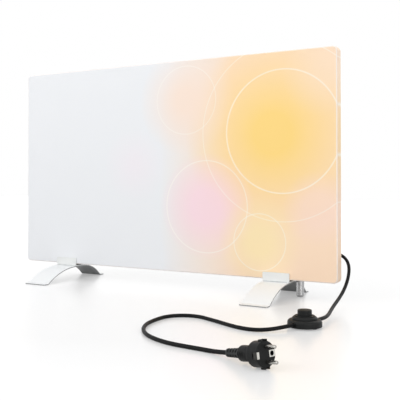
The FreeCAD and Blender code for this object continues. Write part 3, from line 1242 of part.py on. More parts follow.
def earth_strips(gap):
    """The earth contacts on both sides of the head, or their pockets when a gap is given.

    Each has a return on the face. The one at the earth socket is a plate round the socket's lip.
    """
    half = EARTH_STRIP_WIDTH / 2 + gap
    outer = HEAD_RADIUS - HEAD_STEP + gap
    inner = HEAD_RADIUS - HEAD_STEP - EARTH_STRIP_THICKNESS - gap
    lip_radius = EARTH_SOCKET_RADIUS + EARTH_SOCKET_LIP + (0 if gap else FIT_GAP)
    lip_start = point(FACE_X - EARTH_SOCKET_DEPTH, EARTH_SOCKET_OFFSET, 0)
    lip = rod(lip_start, RIGHTWARD, lip_radius, EARTH_SOCKET_DEPTH + OVERRUN)
    strips = []
    for side, length in ((1, EARTH_PLATE_RETURN), (-1, EARTH_STRIP_RETURN)):
        reach = outer + (OVERRUN if gap else 0)
        low_y, high_y = sorted((side * inner, side * reach))
        front_x = FACE_X + (OVERRUN if gap else 0)
        leg = block((FACE_X - EARTH_STRIP_LENGTH - gap, low_y, -half), (front_x, high_y, half))
        tab_y = HEAD_RADIUS - HEAD_STEP - length - gap
        low_y, high_y = sorted((side * tab_y, side * reach))
        tab = block((FACE_X - EARTH_STRIP_THICKNESS - gap, low_y, -half), (front_x, high_y, half))
        strips.append(fused([leg, tab]).cut(lip))
    return strips


def plug_pins():
    """The two round pins, with rounded tips and a thinner root held in the moulding."""
    pins = []
    for place in pin_places():
        pin = rod(place, RIGHTWARD, PIN_RADIUS, PIN_LENGTH)
        tip = [e for e in pin.Edges if e.BoundBox.XMin > FACE_X + PIN_LENGTH - FIT_GAP]
        pin = pin.makeFillet(PIN_TIP_ROUND, tip)
        root = rod(place + LEFTWARD * PIN_ROOT, RIGHTWARD, PIN_ROOT_RADIUS, PIN_ROOT + PIN_TIP_ROUND)
        pins.append(fused([pin, root]))
    return Part.makeCompound(pins)


def plug_lift():
    """The height of the boot's tail at which the tilted plug just touches the floor."""
    trial = plug_body()
    trial.rotate(ORIGIN, BACKWARD, -PLUG_TILT)
    return -trial.optimalBoundingBox(False, False).ZMin


PLUG_TAIL_Z = plug_lift()


def plug_place(shape):
    """Puts a shape of the plug from its own frame to its place on the floor."""
    shape.rotate(ORIGIN, BACKWARD, -PLUG_TILT)
    shape.rotate(ORIGIN, UPWARD, PLUG_TURN)
    shape.translate(point(PLUG_TAIL_X, PLUG_TAIL_Y, PLUG_TAIL_Z))
    return shape


def plug_axis_point(along):
    """A point on the plug's axis, in the part's frame."""
    tilt = math.radians(PLUG_TILT)
    turn = math.radians(PLUG_TURN)
    level = along * math.cos(tilt)
    x = PLUG_TAIL_X + level * math.cos(turn)
    y = PLUG_TAIL_Y + level * math.sin(turn)
    return (x, y, PLUG_TAIL_Z + along * math.sin(tilt))


def from_gland(route):
    """A route's points in the part's frame."""
    return [(GLAND_MOUTH_X + x, y, z) for x, y, z in route]


def flex_panel_side():
    """The lead from the gland, round the panel's end, to the foot switch."""
    mouth = SWITCH_RADIUS + BUSHING_STANDOUT
    start = [(GLAND_MOUTH_X, GLAND_Y, GLAND_HEIGHT), (GLAND_MOUTH_X + CORD_EXIT_RUN, GLAND_Y, GLAND_HEIGHT)]
    end = [switch_point(mouth + CORD_SWITCH_RUN), switch_point(mouth)]
    return cord("flex_panel_side", start + from_gland(PANEL_SIDE_ROUTE) + end)


def flex_plug_side():
    """The lead from the foot switch, in a loose loop on the floor, to the plug."""
    mouth = SWITCH_RADIUS + BUSHING_STANDOUT
    start = [switch_point(-mouth), switch_point(-mouth - CORD_SWITCH_RUN)]
    end = [plug_axis_point(-CORD_PLUG_RUN), plug_axis_point(0)]
    return cord("flex_plug_side", start + from_gland(PLUG_SIDE_ROUTE) + end)


def make_nodes():
    """Every piece of the foot warmer, by name."""
    nodes = {
        "front_panel": front_panel(),
        "rear_cover": rear_cover(),
        "rear_cover_screws": rear_cover_screws(),
        "heating_film": layer(FILM_FRONT_Y, BUSBAR_FRONT_Y),
        "busbars": busbars(),
        "reflector_foil": reflector_foil(),
        "insulation_board": insulation_board(),
        "thermal_cutout": thermal_cutout(),
        "heater_leads": heater_leads(),
        "lead_grommet": lead_grommet(),
        "terminal_box_base": terminal_box_base(),
        "terminal_box_lid": terminal_box_lid(),
        "terminal_box_screws": terminal_box_screws(),
        "terminal_block": terminal_block(),
        "mains_cores": mains_cores(),
        "cord_gland": cord_gland(),
        "gland_nut": gland_nut(),
        "tip_guide_bush": tip_guide_bush(),
        "tip_plunger": tip_plunger(),
        "tip_spring": tip_spring(),
        "tip_microswitch": tip_microswitch(),
        "foot_rivets": foot_rivets(),
        "foot_clamp_screws": foot_clamp_screws(),
        "flex_panel_side": flex_panel_side(),
        "flex_plug_side": flex_plug_side(),
    }
    for name, x in (("left", -FOOT_SPACING / 2), ("right", FOOT_SPACING / 2)):
        nodes[f"{name}_foot_arch"] = foot_arch(x)
        nodes[f"{name}_foot_clip"] = foot_clip(x)
        nodes[f"{name}_foot_pad"] = foot_pad(x)
    for make in (switch_pads, switch_base, switch_housing, switch_button, switch_spring,
                 switch_mechanism, switch_bushings, switch_screws):
        nodes[make.__name__] = switch_place(make())
    for make in (plug_boot, plug_body, plug_pins):
        nodes[make.__name__] = plug_place(make())
    nodes["plug_earth_strips"] = plug_place(Part.makeCompound(earth_strips(0)))
    return nodes


os.makedirs("parts", exist_ok=True)
for node, shape in make_nodes().items():
    shape.exportStep(f"parts/{node}.step")
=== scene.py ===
import logging
import math
from dataclasses import dataclass, field
from enum import Enum

import bpy
from mathutils import Matrix, Vector


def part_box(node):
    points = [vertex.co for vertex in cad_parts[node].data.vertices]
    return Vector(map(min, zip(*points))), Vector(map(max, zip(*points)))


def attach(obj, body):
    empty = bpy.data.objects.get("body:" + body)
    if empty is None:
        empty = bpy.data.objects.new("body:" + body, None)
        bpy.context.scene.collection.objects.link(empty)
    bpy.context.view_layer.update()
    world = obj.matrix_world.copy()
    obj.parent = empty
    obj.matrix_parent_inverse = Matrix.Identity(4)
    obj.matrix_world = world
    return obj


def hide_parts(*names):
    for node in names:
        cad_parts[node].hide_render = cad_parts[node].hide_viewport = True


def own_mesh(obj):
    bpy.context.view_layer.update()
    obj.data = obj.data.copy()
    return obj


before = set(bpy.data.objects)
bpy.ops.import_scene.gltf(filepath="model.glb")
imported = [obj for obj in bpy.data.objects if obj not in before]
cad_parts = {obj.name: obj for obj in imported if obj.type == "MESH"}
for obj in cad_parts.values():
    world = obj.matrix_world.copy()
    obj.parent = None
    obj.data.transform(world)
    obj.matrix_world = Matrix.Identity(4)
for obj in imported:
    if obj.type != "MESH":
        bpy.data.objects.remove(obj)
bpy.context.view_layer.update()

LOG = logging.getLogger("foot_warmer")
Colour = tuple[float, float, float]
Place = tuple[float, float, float]
Span = tuple[float, float]
NONE_TO_FULL: Span = (0.0, 1.0)
FULL_TO_NONE: Span = (1.0, 0.0)
CLOUD_SPAN: Span = (0.3, 0.7)


class Body(Enum):
    """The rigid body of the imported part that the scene's own pieces ride on."""

    HEATER = "heater"


class LeadEnd(Enum):
    """What a stretch of the mains lead ends in."""

    FOOT_SWITCH = "fitting"
    PLUG = "plug"


class Grain(Enum):
    """How a metal surface was worked."""

    TURNED = "turned"
    BRUSHED = "brushed"
    PLATED = "plated"
    CRUMPLED = "crumpled"


def linear(red: int, green: int, blue: int) -> Colour:
    """Turns a screen colour into the linear values that shaders take.

    Args:
        red: The red level, 0 to 255.
        green: The green level, 0 to 255.
        blue: The blue level, 0 to 255.

    Returns:
        The colour in linear light.
    """
    levels = (red / 255, green / 255, blue / 255)
    return tuple(v / 12.92 if v <= 0.04045 else ((v + 0.055) / 1.055) ** 2.4 for v in levels)


class ShaderSheet:
    """A new material's node tree, with short ways to add and join nodes."""

    def __init__(self, name: str) -> None:
        """Starts a material with one principled shader.

        Args:
            name: The material's name.
        """
        self.material = bpy.data.materials.new(name)
        self.material.use_nodes = True
        self.tree = self.material.node_tree
        self.tree.nodes.clear()
        self.output = self.tree.nodes.new("ShaderNodeOutputMaterial")
        self.shader = self.tree.nodes.new("ShaderNodeBsdfPrincipled")
        self.tree.links.new(self.shader.outputs["BSDF"], self.output.inputs["Surface"])

    def node(self, kind: str, **inputs: object) -> bpy.types.Node:
        """Adds a node and fills its inputs.

        Args:
            kind: The node's Blender type.
            inputs: Input names in lower case, each with a value or a socket to join.

        Returns:
            The new node.
        """
        made = self.tree.nodes.new(kind)
        for name, value in inputs.items():
            socket = made.inputs[name.replace("_", " ").title()]
            if isinstance(value, bpy.types.NodeSocket):
                self.tree.links.new(value, socket)
            else:
                socket.default_value = value
        return made

    def spot(self, scale: Place = (1.0, 1.0, 1.0)) -> bpy.types.NodeSocket:
        """The surface point in the part's frame, stretched.

        Args:
            scale: How much each axis is stretched.

        Returns:
            A vector socket.
        """
        places = self.node("ShaderNodeTexCoord")
        mapping = self.node("ShaderNodeMapping", vector=places.outputs["Object"], scale=scale)
        return mapping.outputs["Vector"]

    def axis(self, letter: str) -> bpy.types.NodeSocket:
        """One coordinate of the surface point.

        Args:
            letter: X, Y or Z.

        Returns:
            A number socket.
        """
        split = self.node("ShaderNodeSeparateXYZ", vector=self.spot())
        return split.outputs[letter]

    def facing(self, letter: str) -> bpy.types.NodeSocket:
        """One coordinate of the direction that the surface looks in.

        Args:
            letter: X, Y or Z.

        Returns:
            A number socket from -1 to 1.
        """
        normal = self.node("ShaderNodeNewGeometry").outputs["Normal"]
        return self.node("ShaderNodeSeparateXYZ", vector=normal).outputs[letter]

    def noise(self, size: float, detail: float = 3.0, stretch: Place = (1.0, 1.0, 1.0)) -> bpy.types.NodeSocket:
        """A cloudy pattern.

        Args:
            size: The size of its spots, in metres.
            detail: How many finer layers it has.
            stretch: How much each axis is stretched.

        Returns:
            A number socket from 0 to 1.
        """
        cloud = self.node("ShaderNodeTexNoise", vector=self.spot(stretch), scale=1.0 / size, detail=detail)
        return cloud.outputs["Fac"]

    def remap(self, value: bpy.types.NodeSocket, source: Span, target: Span) -> bpy.types.NodeSocket:
        """Moves a number from one range to another, held at the ends.

        Args:
            value: The number.
            source: The range it comes from.
            target: The range it goes to.

        Returns:
            A number socket.
        """
        made = self.node("ShaderNodeMapRange", value=value, from_min=source[0], from_max=source[1],
                         to_min=target[0], to_max=target[1])
        return made.outputs["Result"]

    def sum(self, operation: str, first: object, second: object) -> bpy.types.NodeSocket:
        """Works on two numbers.

        Args:
            operation: The name of Blender's operation.
            first: A number or a socket.
            second: A number or a socket.

        Returns:
            A number socket.
        """
        made = self.tree.nodes.new("ShaderNodeMath")
        made.operation = operation
        for socket, value in zip(made.inputs, (first, second)):
            if isinstance(value, bpy.types.NodeSocket):
                self.tree.links.new(value, socket)
            else:
                socket.default_value = value
        return made.outputs["Value"]

    def blend(self, share: object, under: object, over: object) -> bpy.types.NodeSocket:
        """Lays one colour over another.

        Args:
            share: How much of the upper colour shows, a number or a socket.
            under: The lower colour, a value or a socket.
            over: The upper colour, a value or a socket.

        Returns:
            A colour socket.
        """
        made = self.tree.nodes.new("ShaderNodeMix")
        made.data_type = "RGBA"
        factor, colour_a, colour_b = made.inputs["Factor"], made.inputs[6], made.inputs[7]
        for socket, value in zip((factor, colour_a, colour_b), (share, under, over)):
            if isinstance(value, bpy.types.NodeSocket):
                self.tree.links.new(value, socket)
            else:
                socket.default_value = value if isinstance(value, float) else (*value, 1.0)
        return made.outputs[2]

    def colour(self, value: object) -> None:
        """Sets the shader's base colour, a value or a socket."""
        self.feed("Base Color", value if isinstance(value, bpy.types.NodeSocket) else (*value, 1.0))

    def feed(self, name: str, value: object) -> None:
        """Sets one of the shader's inputs, by a value or a socket.

        Args:
            name: The input's name.
            value: A value, or a socket to join.
        """
        if isinstance(value, bpy.types.NodeSocket):
            self.tree.links.new(value, self.shader.inputs[name])
        else:
            self.shader.inputs[name].default_value = value

    def uneven(self, size: float, levels: Span) -> None:
        """Lets the shader's roughness drift between two levels.

        Args:
            size: The size of the drift's spots, in metres.
            levels: The lowest and the highest roughness.
        """
        self.feed("Roughness", self.remap(self.noise(size), CLOUD_SPAN, levels))

    def relief(self, height: bpy.types.NodeSocket, depth: float, strength: float) -> None:
        """Raises the surface by a pattern.

        Args:
            height: The pattern, 0 to 1.
            depth: How deep the pattern is, in metres.
            strength: How much of it shows.
        """
        bump = self.node("ShaderNodeBump", height=height, distance=depth, strength=strength)
        self.tree.links.new(bump.outputs["Normal"], self.shader.inputs["Normal"])


@dataclass(frozen=True)
class GlowDisc:
    """A soft round patch of colour in the panel's print.

    The centre is in metres along the panel and up from the floor.
    """

    along: float
    height: float
    radius: float
    colour: Colour
    share: float
    soft: float


@dataclass(frozen=True)
class GlowRing:
    """A thin pale ring in the panel's print, in metres as the discs are."""

    along: float
    height: float
    radius: float
    width: float
    share: float


@dataclass(frozen=True)
class PrintedCoat:
    """The panel's coat: cool white that warms to the right, with soft round glows."""

    name: str = "printed_coat"
    cool: Colour = linear(236, 238, 241)
    warm: Colour = linear(251, 222, 194)
    back: Colour = linear(240, 240, 239)
    ring: Colour = linear(255, 252, 244)
    # Painted highlight: a pale tone on the rounded front edge, where the edge catches the light.
    painted_highlight: Colour = linear(253, 245, 240)
    warm_span: Span = (-0.01, 0.18)
    drift_size: float = 0.35
    drift_reach: float = 0.16
    highlight_starts: Span = (-0.99, -0.90)
    highlight_ends: Span = (-0.40, -0.20)
    highlight_share: float = 0.75
    back_starts: Span = (0.5, 0.7)
    sheen_size: float = 0.06
    sheen: Span = (0.44, 0.50)
    shine: float = 0.35
    peel_size: float = 0.0016
    peel_depth: float = 0.00004
    peel_share: float = 0.25
    discs: tuple[GlowDisc, ...] = (
        GlowDisc(0.265, 0.330, 0.205, linear(253, 216, 126), 0.95, 0.80),
        GlowDisc(0.060, 0.410, 0.120, linear(250, 226, 208), 0.80, 0.80),
        GlowDisc(0.110, 0.180, 0.115, linear(250, 216, 230), 0.75, 0.70),
        GlowDisc(0.235, 0.110, 0.095, linear(252, 232, 176), 0.70, 0.75),
        GlowDisc(-0.075, 0.270, 0.085, linear(246, 232, 240), 0.35, 0.85),
        GlowDisc(0.375, 0.450, 0.090, linear(251, 226, 200), 0.55, 0.80),
        GlowDisc(0.360, 0.180, 0.075, linear(250, 220, 206), 0.60, 0.60),
    )
    rings: tuple[GlowRing, ...] = (
        GlowRing(0.285, 0.335, 0.125, 0.0022, 0.60),
        GlowRing(0.285, 0.335, 0.182, 0.0016, 0.45),
        GlowRing(0.110, 0.180, 0.098, 0.0018, 0.55),
        GlowRing(0.235, 0.110, 0.058, 0.0016, 0.55),
        GlowRing(0.060, 0.410, 0.074, 0.0016, 0.40),
    )

    def reach(self, sheet: ShaderSheet, along: float, height: float) -> bpy.types.NodeSocket:
        """How far a surface point is from a centre, in the panel's plane.

        Args:
            sheet: The material being made.
            along: The centre's place along the panel.
            height: The centre's height.

        Returns:
            A number socket, in metres.
        """
        across = sheet.sum("SUBTRACT", sheet.axis("X"), along)
        up = sheet.sum("SUBTRACT", sheet.axis("Z"), height)
        square = sheet.sum("ADD", sheet.sum("MULTIPLY", across, across), sheet.sum("MULTIPLY", up, up))
        return sheet.sum("SQRT", square, 0.0)

    def material(self) -> bpy.types.Material:
        """Makes the coat's material."""
        sheet = ShaderSheet(self.name)
        cloud = sheet.sum("SUBTRACT", sheet.noise(self.drift_size, 1.0), 0.5)
        along = sheet.sum("ADD", sheet.axis("X"), sheet.sum("MULTIPLY", cloud, self.drift_reach))
        colour = sheet.blend(sheet.remap(along, self.warm_span, NONE_TO_FULL), self.cool, self.warm)
        for disc in self.discs:
            reach = self.reach(sheet, disc.along, disc.height)
            inner = disc.radius * (1.0 - disc.soft)
            share = sheet.remap(reach, (inner, disc.radius), (disc.share, 0.0))
            colour = sheet.blend(share, colour, disc.colour)
        for ring in self.rings:
            reach = self.reach(sheet, ring.along, ring.height)
            off = sheet.sum("ABSOLUTE", sheet.sum("SUBTRACT", reach, ring.radius), 0.0)
            share = sheet.remap(off, (0.0, ring.width), (ring.share, 0.0))
            colour = sheet.blend(share, colour, self.ring)
        # Painted highlight on the faces that turn from the front to the side, along the rounded front edge.
        backward = sheet.facing("Y")
        turned_in = sheet.remap(backward, self.highlight_starts, (0.0, self.highlight_share))
        still_front = sheet.remap(backward, self.highlight_ends, FULL_TO_NONE)
        colour = sheet.blend(sheet.sum("MULTIPLY", turned_in, still_front), colour, self.painted_highlight)
        colour = sheet.blend(sheet.remap(backward, self.back_starts, NONE_TO_FULL), colour, self.back)
        sheet.colour(colour)
        sheet.uneven(self.sheen_size, self.sheen)
        sheet.feed("Specular IOR Level", self.shine)
        sheet.relief(sheet.noise(self.peel_size, 2.0), self.peel_depth, self.peel_share)
        return sheet.material


@dataclass(frozen=True)
class PowderCoat:
    """Baked powder on sheet steel, with its fine orange peel and slight unevenness.

    Where a grey for painted shade is given, it is laid on the sheet's cut edges and its underside, where shade falls.
    """

    name: str
    colour: Colour
    shade: Colour
    painted_shade: Colour | None = None
    sheen: Span = (0.42, 0.50)
    sheen_size: float = 0.02
    patch_size: float = 0.04
    patch_span: Span = (0.35, 0.75)
    patch_share: float = 0.7
    side_span: Span = (0.6, 0.9)
    end_span: Span = (0.7, 0.9)
    under_span: Span = (-0.4, -0.1)
    peel_size: float = 0.0011
    peel_depth: float = 0.00006
    peel_share: float = 0.45

    def painted_shade_share(self, sheet: ShaderSheet) -> bpy.types.NodeSocket:
        """Where shade is painted: on faces that look to a side, to the front or back, or down.

        Args:
            sheet: The material being made.

        Returns:
            A number socket, 1 where shade is painted.
        """
        side = sheet.remap(sheet.sum("ABSOLUTE", sheet.facing("X"), 0.0), self.side_span, NONE_TO_FULL)
        end = sheet.remap(sheet.sum("ABSOLUTE", sheet.facing("Y"), 0.0), self.end_span, NONE_TO_FULL)
        under = sheet.remap(sheet.facing("Z"), self.under_span, FULL_TO_NONE)
        return sheet.sum("MAXIMUM", sheet.sum("MAXIMUM", side, end), under)

    def material(self) -> bpy.types.Material:
        """Makes the coat's material."""
        sheet = ShaderSheet(self.name)
        patches = sheet.remap(sheet.noise(self.patch_size, 4.0), self.patch_span, (0.0, self.patch_share))
        coat = sheet.blend(patches, self.colour, self.shade)
        if self.painted_shade is not None:
            # Painted shade: a grey laid on the cut edges and the underside.
            coat = sheet.blend(self.painted_shade_share(sheet), coat, self.painted_shade)
        sheet.colour(coat)
        sheet.uneven(self.sheen_size, self.sheen)
        sheet.relief(sheet.noise(self.peel_size, 2.0), self.peel_depth, self.peel_share)
        return sheet.material


@dataclass(frozen=True)
class MouldedPlastic:
    """Moulded plastic or rubber with a fine eroded grain, slight dust and rubbed patches."""

    name: str
    colour: Colour
    # Here this colour is real wear: the lighter rubbed patches.
    wear_and_shade: Colour
    roughness: float
    grain: float = 0.0006
    depth: float = 0.00005
    shine: float = 0.5
    patch_size: float = 0.012
    patch_span: Span = (0.45, 0.75)
    patch_share: float = 0.8
    sheen_size: float = 0.007
    sheen_drift: Span = (-0.05, 0.07)
    grain_share: float = 0.5

    def material(self) -> bpy.types.Material:
        """Makes the plastic's material."""
        sheet = ShaderSheet(self.name)
        patches = sheet.remap(sheet.noise(self.patch_size, 5.0), self.patch_span, (0.0, self.patch_share))
        sheet.colour(sheet.blend(patches, self.colour, self.wear_and_shade))
        sheet.uneven(self.sheen_size, tuple(self.roughness + drift for drift in self.sheen_drift))
        sheet.feed("Specular IOR Level", self.shine)
        sheet.relief(sheet.noise(self.grain, 2.0), self.depth, self.grain_share)
        return sheet.material


@dataclass(frozen=True)
class WorkedMetal:
    """Bare or plated metal, with the marks of how it was worked.

    Where a darker colour is given, it is painted shade on faces that look to the front.
    """

    name: str
    colour: Colour
    dull: Colour
    roughness: float
    grain: Grain
    wear_and_shade: Colour | None = None
    tarnish_size: float = 0.01
    tarnish_span: Span = (0.4, 0.8)
    tarnish_share: float = 0.8
    front_span: Span = (-0.85, -0.6)
    mark_span: Span = (0.25, 0.75)
    mark_share: float = 0.4
    sheen_drift: Span = (-0.06, 0.08)

    def material(self) -> bpy.types.Material:
        """Makes the metal's material."""
        sheet = ShaderSheet(self.name)
        size, depth, stretch = {
            Grain.TURNED: (0.0007, 0.000005, (0.05, 0.05, 1.0)),
            Grain.BRUSHED: (0.0007, 0.00003, (1.0, 0.08, 0.08)),
            Grain.PLATED: (0.0007, 0.00003, (1.0, 1.0, 1.0)),
            Grain.CRUMPLED: (0.012, 0.0006, (1.0, 1.0, 1.0)),
        }[self.grain]
        marks = sheet.noise(size, 3.0, stretch)
        tarnish = sheet.remap(sheet.noise(self.tarnish_size, 4.0), self.tarnish_span, (0.0, self.tarnish_share))
        colour = sheet.blend(tarnish, self.colour, self.dull)
        # Painted shade: the darker colour on faces that look to the front.
        if self.wear_and_shade is not None:
            front = sheet.remap(sheet.facing("Y"), self.front_span, FULL_TO_NONE)
            colour = sheet.blend(front, colour, self.wear_and_shade)
        sheet.colour(colour)
        sheet.feed("Metallic", 1.0)
        levels = tuple(self.roughness + drift for drift in self.sheen_drift)
        sheet.feed("Roughness", sheet.remap(marks, self.mark_span, levels))
        sheet.relief(marks, depth, self.mark_share)
        return sheet.material


@dataclass(frozen=True)
class PressedFibre:
    """A pressed mineral-fibre board."""

    name: str
    colour: Colour
    thread: Colour
    thread_size: float = 0.002
    thread_span: Span = (0.4, 0.65)
    thread_depth: float = 0.0006
    thread_share: float = 0.8
    roughness: float = 0.95

    def material(self) -> bpy.types.Material:
        """Makes the board's material."""
        sheet = ShaderSheet(self.name)
        threads = sheet.noise(self.thread_size, 6.0, (1.0, 1.0, 0.2))
        sheet.colour(sheet.blend(sheet.remap(threads, self.thread_span, NONE_TO_FULL), self.colour, self.thread))
        sheet.feed("Roughness", self.roughness)
        sheet.relief(threads, self.thread_depth, self.thread_share)
        return sheet.material


@dataclass(frozen=True)
class CarbonFilm:
    """A heating film with printed carbon stripes."""

    name: str
    colour: Colour
    stripe: Colour
    pitch: float = 0.012
    gap_share: float = 0.3
    sheen_size: float = 0.004
    sheen: Span = (0.4, 0.55)

    def material(self) -> bpy.types.Material:
        """Makes the film's material."""
        sheet = ShaderSheet(self.name)
        phase = sheet.sum("FRACT", sheet.sum("DIVIDE", sheet.axis("Z"), self.pitch), 0.0)
        stripes = sheet.sum("GREATER_THAN", phase, self.gap_share)
        sheet.colour(sheet.blend(stripes, self.colour, self.stripe))
        sheet.uneven(self.sheen_size, self.sheen)
        return sheet.material


class Finishes:
    """One material of each finish, made when it is first asked for."""

    def __init__(self) -> None:
        """Lists the finishes of the foot warmer."""
        black, black_rubbed = linear(24, 25, 25), linear(32, 33, 33)
        self.kinds: dict[str, object] = {
            "print": PrintedCoat(),
            "white_coat": PowderCoat("white_coat", linear(241, 241, 241), linear(236, 237, 237)),
            "strap_coat": PowderCoat("strap_coat", linear(240, 242, 243), linear(236, 238, 239),
                                     # The strap's grey on its cut edges and underside is painted shade.
                                     painted_shade=linear(150, 151, 152)),
            "clip_coat": PowderCoat("clip_coat", linear(231, 233, 232), linear(226, 228, 227)),
            "white_plastic": MouldedPlastic("white_plastic", linear(236, 236, 234), linear(230, 230, 227), 0.45),
            "natural_plastic": MouldedPlastic("natural_plastic", linear(226, 224, 214), linear(216, 213, 200), 0.5),
            "switch_shell": MouldedPlastic("switch_shell", black, black_rubbed, 0.52, shine=0.18),
            "plug_plastic": MouldedPlastic("plug_plastic", black, black_rubbed, 0.38, shine=0.13),
            "box_plastic": MouldedPlastic("box_plastic", linear(38, 38, 39), linear(50, 50, 50), 0.5),
            "soft_black": MouldedPlastic("soft_black", linear(22, 22, 22), linear(32, 32, 32), 0.5,
                                         grain=0.0009, depth=0.00008, shine=0.15),
            "boot_rubber": MouldedPlastic("boot_rubber", linear(50, 51, 51), linear(60, 61, 61), 0.45,
                                          grain=0.0009, depth=0.00006, shine=0.2),
            # The core's near-black is painted shade in the slots between the rings.
            "boot_slot_shade": MouldedPlastic("boot_slot_shade", linear(5, 5, 5), linear(8, 8, 8), 0.6, shine=0.04),
            "lead_sheath": MouldedPlastic("lead_sheath", linear(17, 17, 18), linear(23, 23, 24), 0.45,
                                          grain=0.0012, depth=0.00003, shine=0.10),
            "red_sleeve": MouldedPlastic("red_sleeve", linear(176, 44, 36), linear(150, 38, 32), 0.55),
            "core_sleeve": MouldedPlastic("core_sleeve", linear(122, 82, 52), linear(104, 70, 46), 0.45),
            "zinc": WorkedMetal("zinc", linear(204, 205, 204), linear(176, 178, 178), 0.32, Grain.PLATED),
            "nickel": WorkedMetal("nickel", linear(172, 170, 165), linear(150, 148, 143), 0.2, Grain.PLATED),
            # The earth strips' dark front faces are painted shade.
            "contact_nickel": WorkedMetal("contact_nickel", linear(206, 204, 198), linear(186, 184, 178), 0.3,
                                          Grain.PLATED, wear_and_shade=linear(60, 59, 57)),
            "spring_wire": WorkedMetal("spring_wire", linear(182, 182, 180), linear(150, 150, 148), 0.3,
                                       Grain.BRUSHED),
            "satin_post": WorkedMetal("satin_post", linear(172, 172, 173), linear(160, 161, 162), 0.24, Grain.TURNED),
            "copper": WorkedMetal("copper", linear(214, 140, 104), linear(176, 108, 80), 0.3, Grain.BRUSHED),
            "foil": WorkedMetal("foil", linear(226, 227, 229), linear(206, 208, 210), 0.18, Grain.CRUMPLED),
            "fibre": PressedFibre("fibre", linear(232, 226, 206), linear(214, 206, 182)),
            "carbon": CarbonFilm("carbon", linear(58, 52, 46), linear(28, 28, 30)),
        }
        self.made: dict[str, bpy.types.Material] = {}

    def get(self, kind: str) -> bpy.types.Material:
        """Gives a finish's material.

        Args:
            kind: The finish's name.

        Returns:
            The material.
        """
        if kind not in self.made:
            self.made[kind] = self.kinds[kind].material()
        return self.made[kind]


def dress(finishes: Finishes, looks: dict[str, str]) -> None:
    """Gives solids of the frame their finish.

    Args:
        finishes: The finishes to choose from.
        looks: The finish of each node, by name.
    """
    for node, kind in looks.items():
        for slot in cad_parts[node].material_slots:
            slot.material = finishes.get(kind)
        LOG.info("%s has the finish %s", node, kind)


@dataclass
class HeatingPanel:
    """The printed panel with its rear cover and the layers inside it."""

    looks: dict[str, str] = field(default_factory=lambda: {
        "front_panel": "print",
        "rear_cover": "white_coat",
        "rear_cover_screws": "zinc",
        "heating_film": "carbon",
        "busbars": "copper",
        "reflector_foil": "foil",
        "insulation_board": "fibre",
        "thermal_cutout": "box_plastic",
        "heater_leads": "red_sleeve",
        "lead_grommet": "soft_black",
    })

    def build(self, finishes: Finishes) -> None:
        """Dresses the panel's solids."""
        dress(finishes, self.looks)


@dataclass
class StrapFeet:
    """The two bent strap feet with their clips, pads, rivets and screws."""

    looks: dict[str, str] = field(default_factory=lambda: {
        "left_foot_arch": "strap_coat",
        "right_foot_arch": "strap_coat",
        "left_foot_clip": "clip_coat",
        "right_foot_clip": "clip_coat",
        "left_foot_pad": "soft_black",
        "right_foot_pad": "soft_black",
        "foot_rivets": "zinc",
        "foot_clamp_screws": "zinc",
    })

    def build(self, finishes: Finishes) -> None:
        """Dresses the feet's solids."""
        dress(finishes, self.looks)


@dataclass
class TerminalBox:
    """The terminal box on the back, with the tip-over switch in it."""

    looks: dict[str, str] = field(default_factory=lambda: {
        "terminal_box_base": "white_plastic",
        "terminal_box_lid": "white_plastic",
        "terminal_box_screws": "zinc",
        "terminal_block": "natural_plastic",
        "mains_cores": "core_sleeve",
        "cord_gland": "box_plastic",
        "gland_nut": "box_plastic",
        "tip_guide_bush": "white_plastic",
        "tip_plunger": "satin_post",
        "tip_spring": "spring_wire",
        "tip_microswitch": "box_plastic",
    })

    def build(self, finishes: Finishes) -> None:
        """Dresses the box's solids."""
        dress(finishes, self.looks)


@dataclass
class CoilSpring:
    """A coil spring wound on a fixed foot, standing still in the place of the spring that a joint presses together.
    """

    node: str
    joint: str
    wire: float
    turns: int
    steps: int = 24
    sides: int = 12
    clearance: float = 0.0001
    smooth_under: float = 50.0

    def build(self, finishes: Finishes) -> bpy.types.Object:
        """Winds the spring in the place of its solid.

        Args:
            finishes: The finishes to choose from.

        Returns:
            The spring's object.
        """
        low, high = (Vector(corner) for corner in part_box(self.node))
        middle = (low + high) / 2
        radius = (high.x - low.x - self.wire) / 2
        rise = high.z - low.z - self.wire - self.clearance
        bpy.ops.object.select_all(action="DESELECT")
        bpy.ops.mesh.primitive_circle_add(vertices=self.sides, radius=self.wire / 2, location=(radius, 0.0, 0.0),
                                          rotation=(math.pi / 2, 0.0, 0.0))
        piece = bpy.context.object
        piece.name = f"{self.node}_coil"
        bpy.ops.object.transform_apply(location=True, rotation=True, scale=True)
        winding = piece.modifiers.new("winding", "SCREW")
        winding.screw_offset = rise / self.turns
        winding.iterations = self.turns
        winding.steps = winding.render_steps = self.steps
        bpy.ops.object.modifier_apply(modifier=winding.name)
        bpy.ops.object.mode_set(mode="EDIT")
        bpy.ops.mesh.select_all(action="SELECT")
        bpy.ops.mesh.fill_holes(sides=0)
        bpy.ops.mesh.normals_make_consistent(inside=False)
        bpy.ops.object.mode_set(mode="OBJECT")
        piece.location = (middle.x, middle.y, low.z + self.wire / 2)
        bpy.ops.object.transform_apply(location=True, rotation=True, scale=True)
        bpy.ops.object.shade_smooth_by_angle(angle=math.radians(self.smooth_under))
        piece.data.materials.append(finishes.get("spring_wire"))
        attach(piece, Body.HEATER.value)
        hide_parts(self.node)
        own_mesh(piece)
        return piece


@dataclass
class FootSwitch:
    """The round foot switch on the lead."""

    spring: CoilSpring = field(default_factory=lambda: CoilSpring(
        node="switch_spring", joint="button_press", wire=0.0012, turns=4))
    looks: dict[str, str] = field(default_factory=lambda: {
        "switch_pads": "soft_black",
        "switch_base": "box_plastic",
        "switch_housing": "switch_shell",
        "switch_button": "switch_shell",
        "switch_spring": "spring_wire",
        "switch_mechanism": "natural_plastic",
        "switch_bushings": "soft_black",
        "switch_screws": "zinc",
    })

    def build(self, finishes: Finishes) -> None:
        """Dresses the switch's solids and winds its spring."""
        dress(finishes, self.looks)
        self.spring.build(finishes)


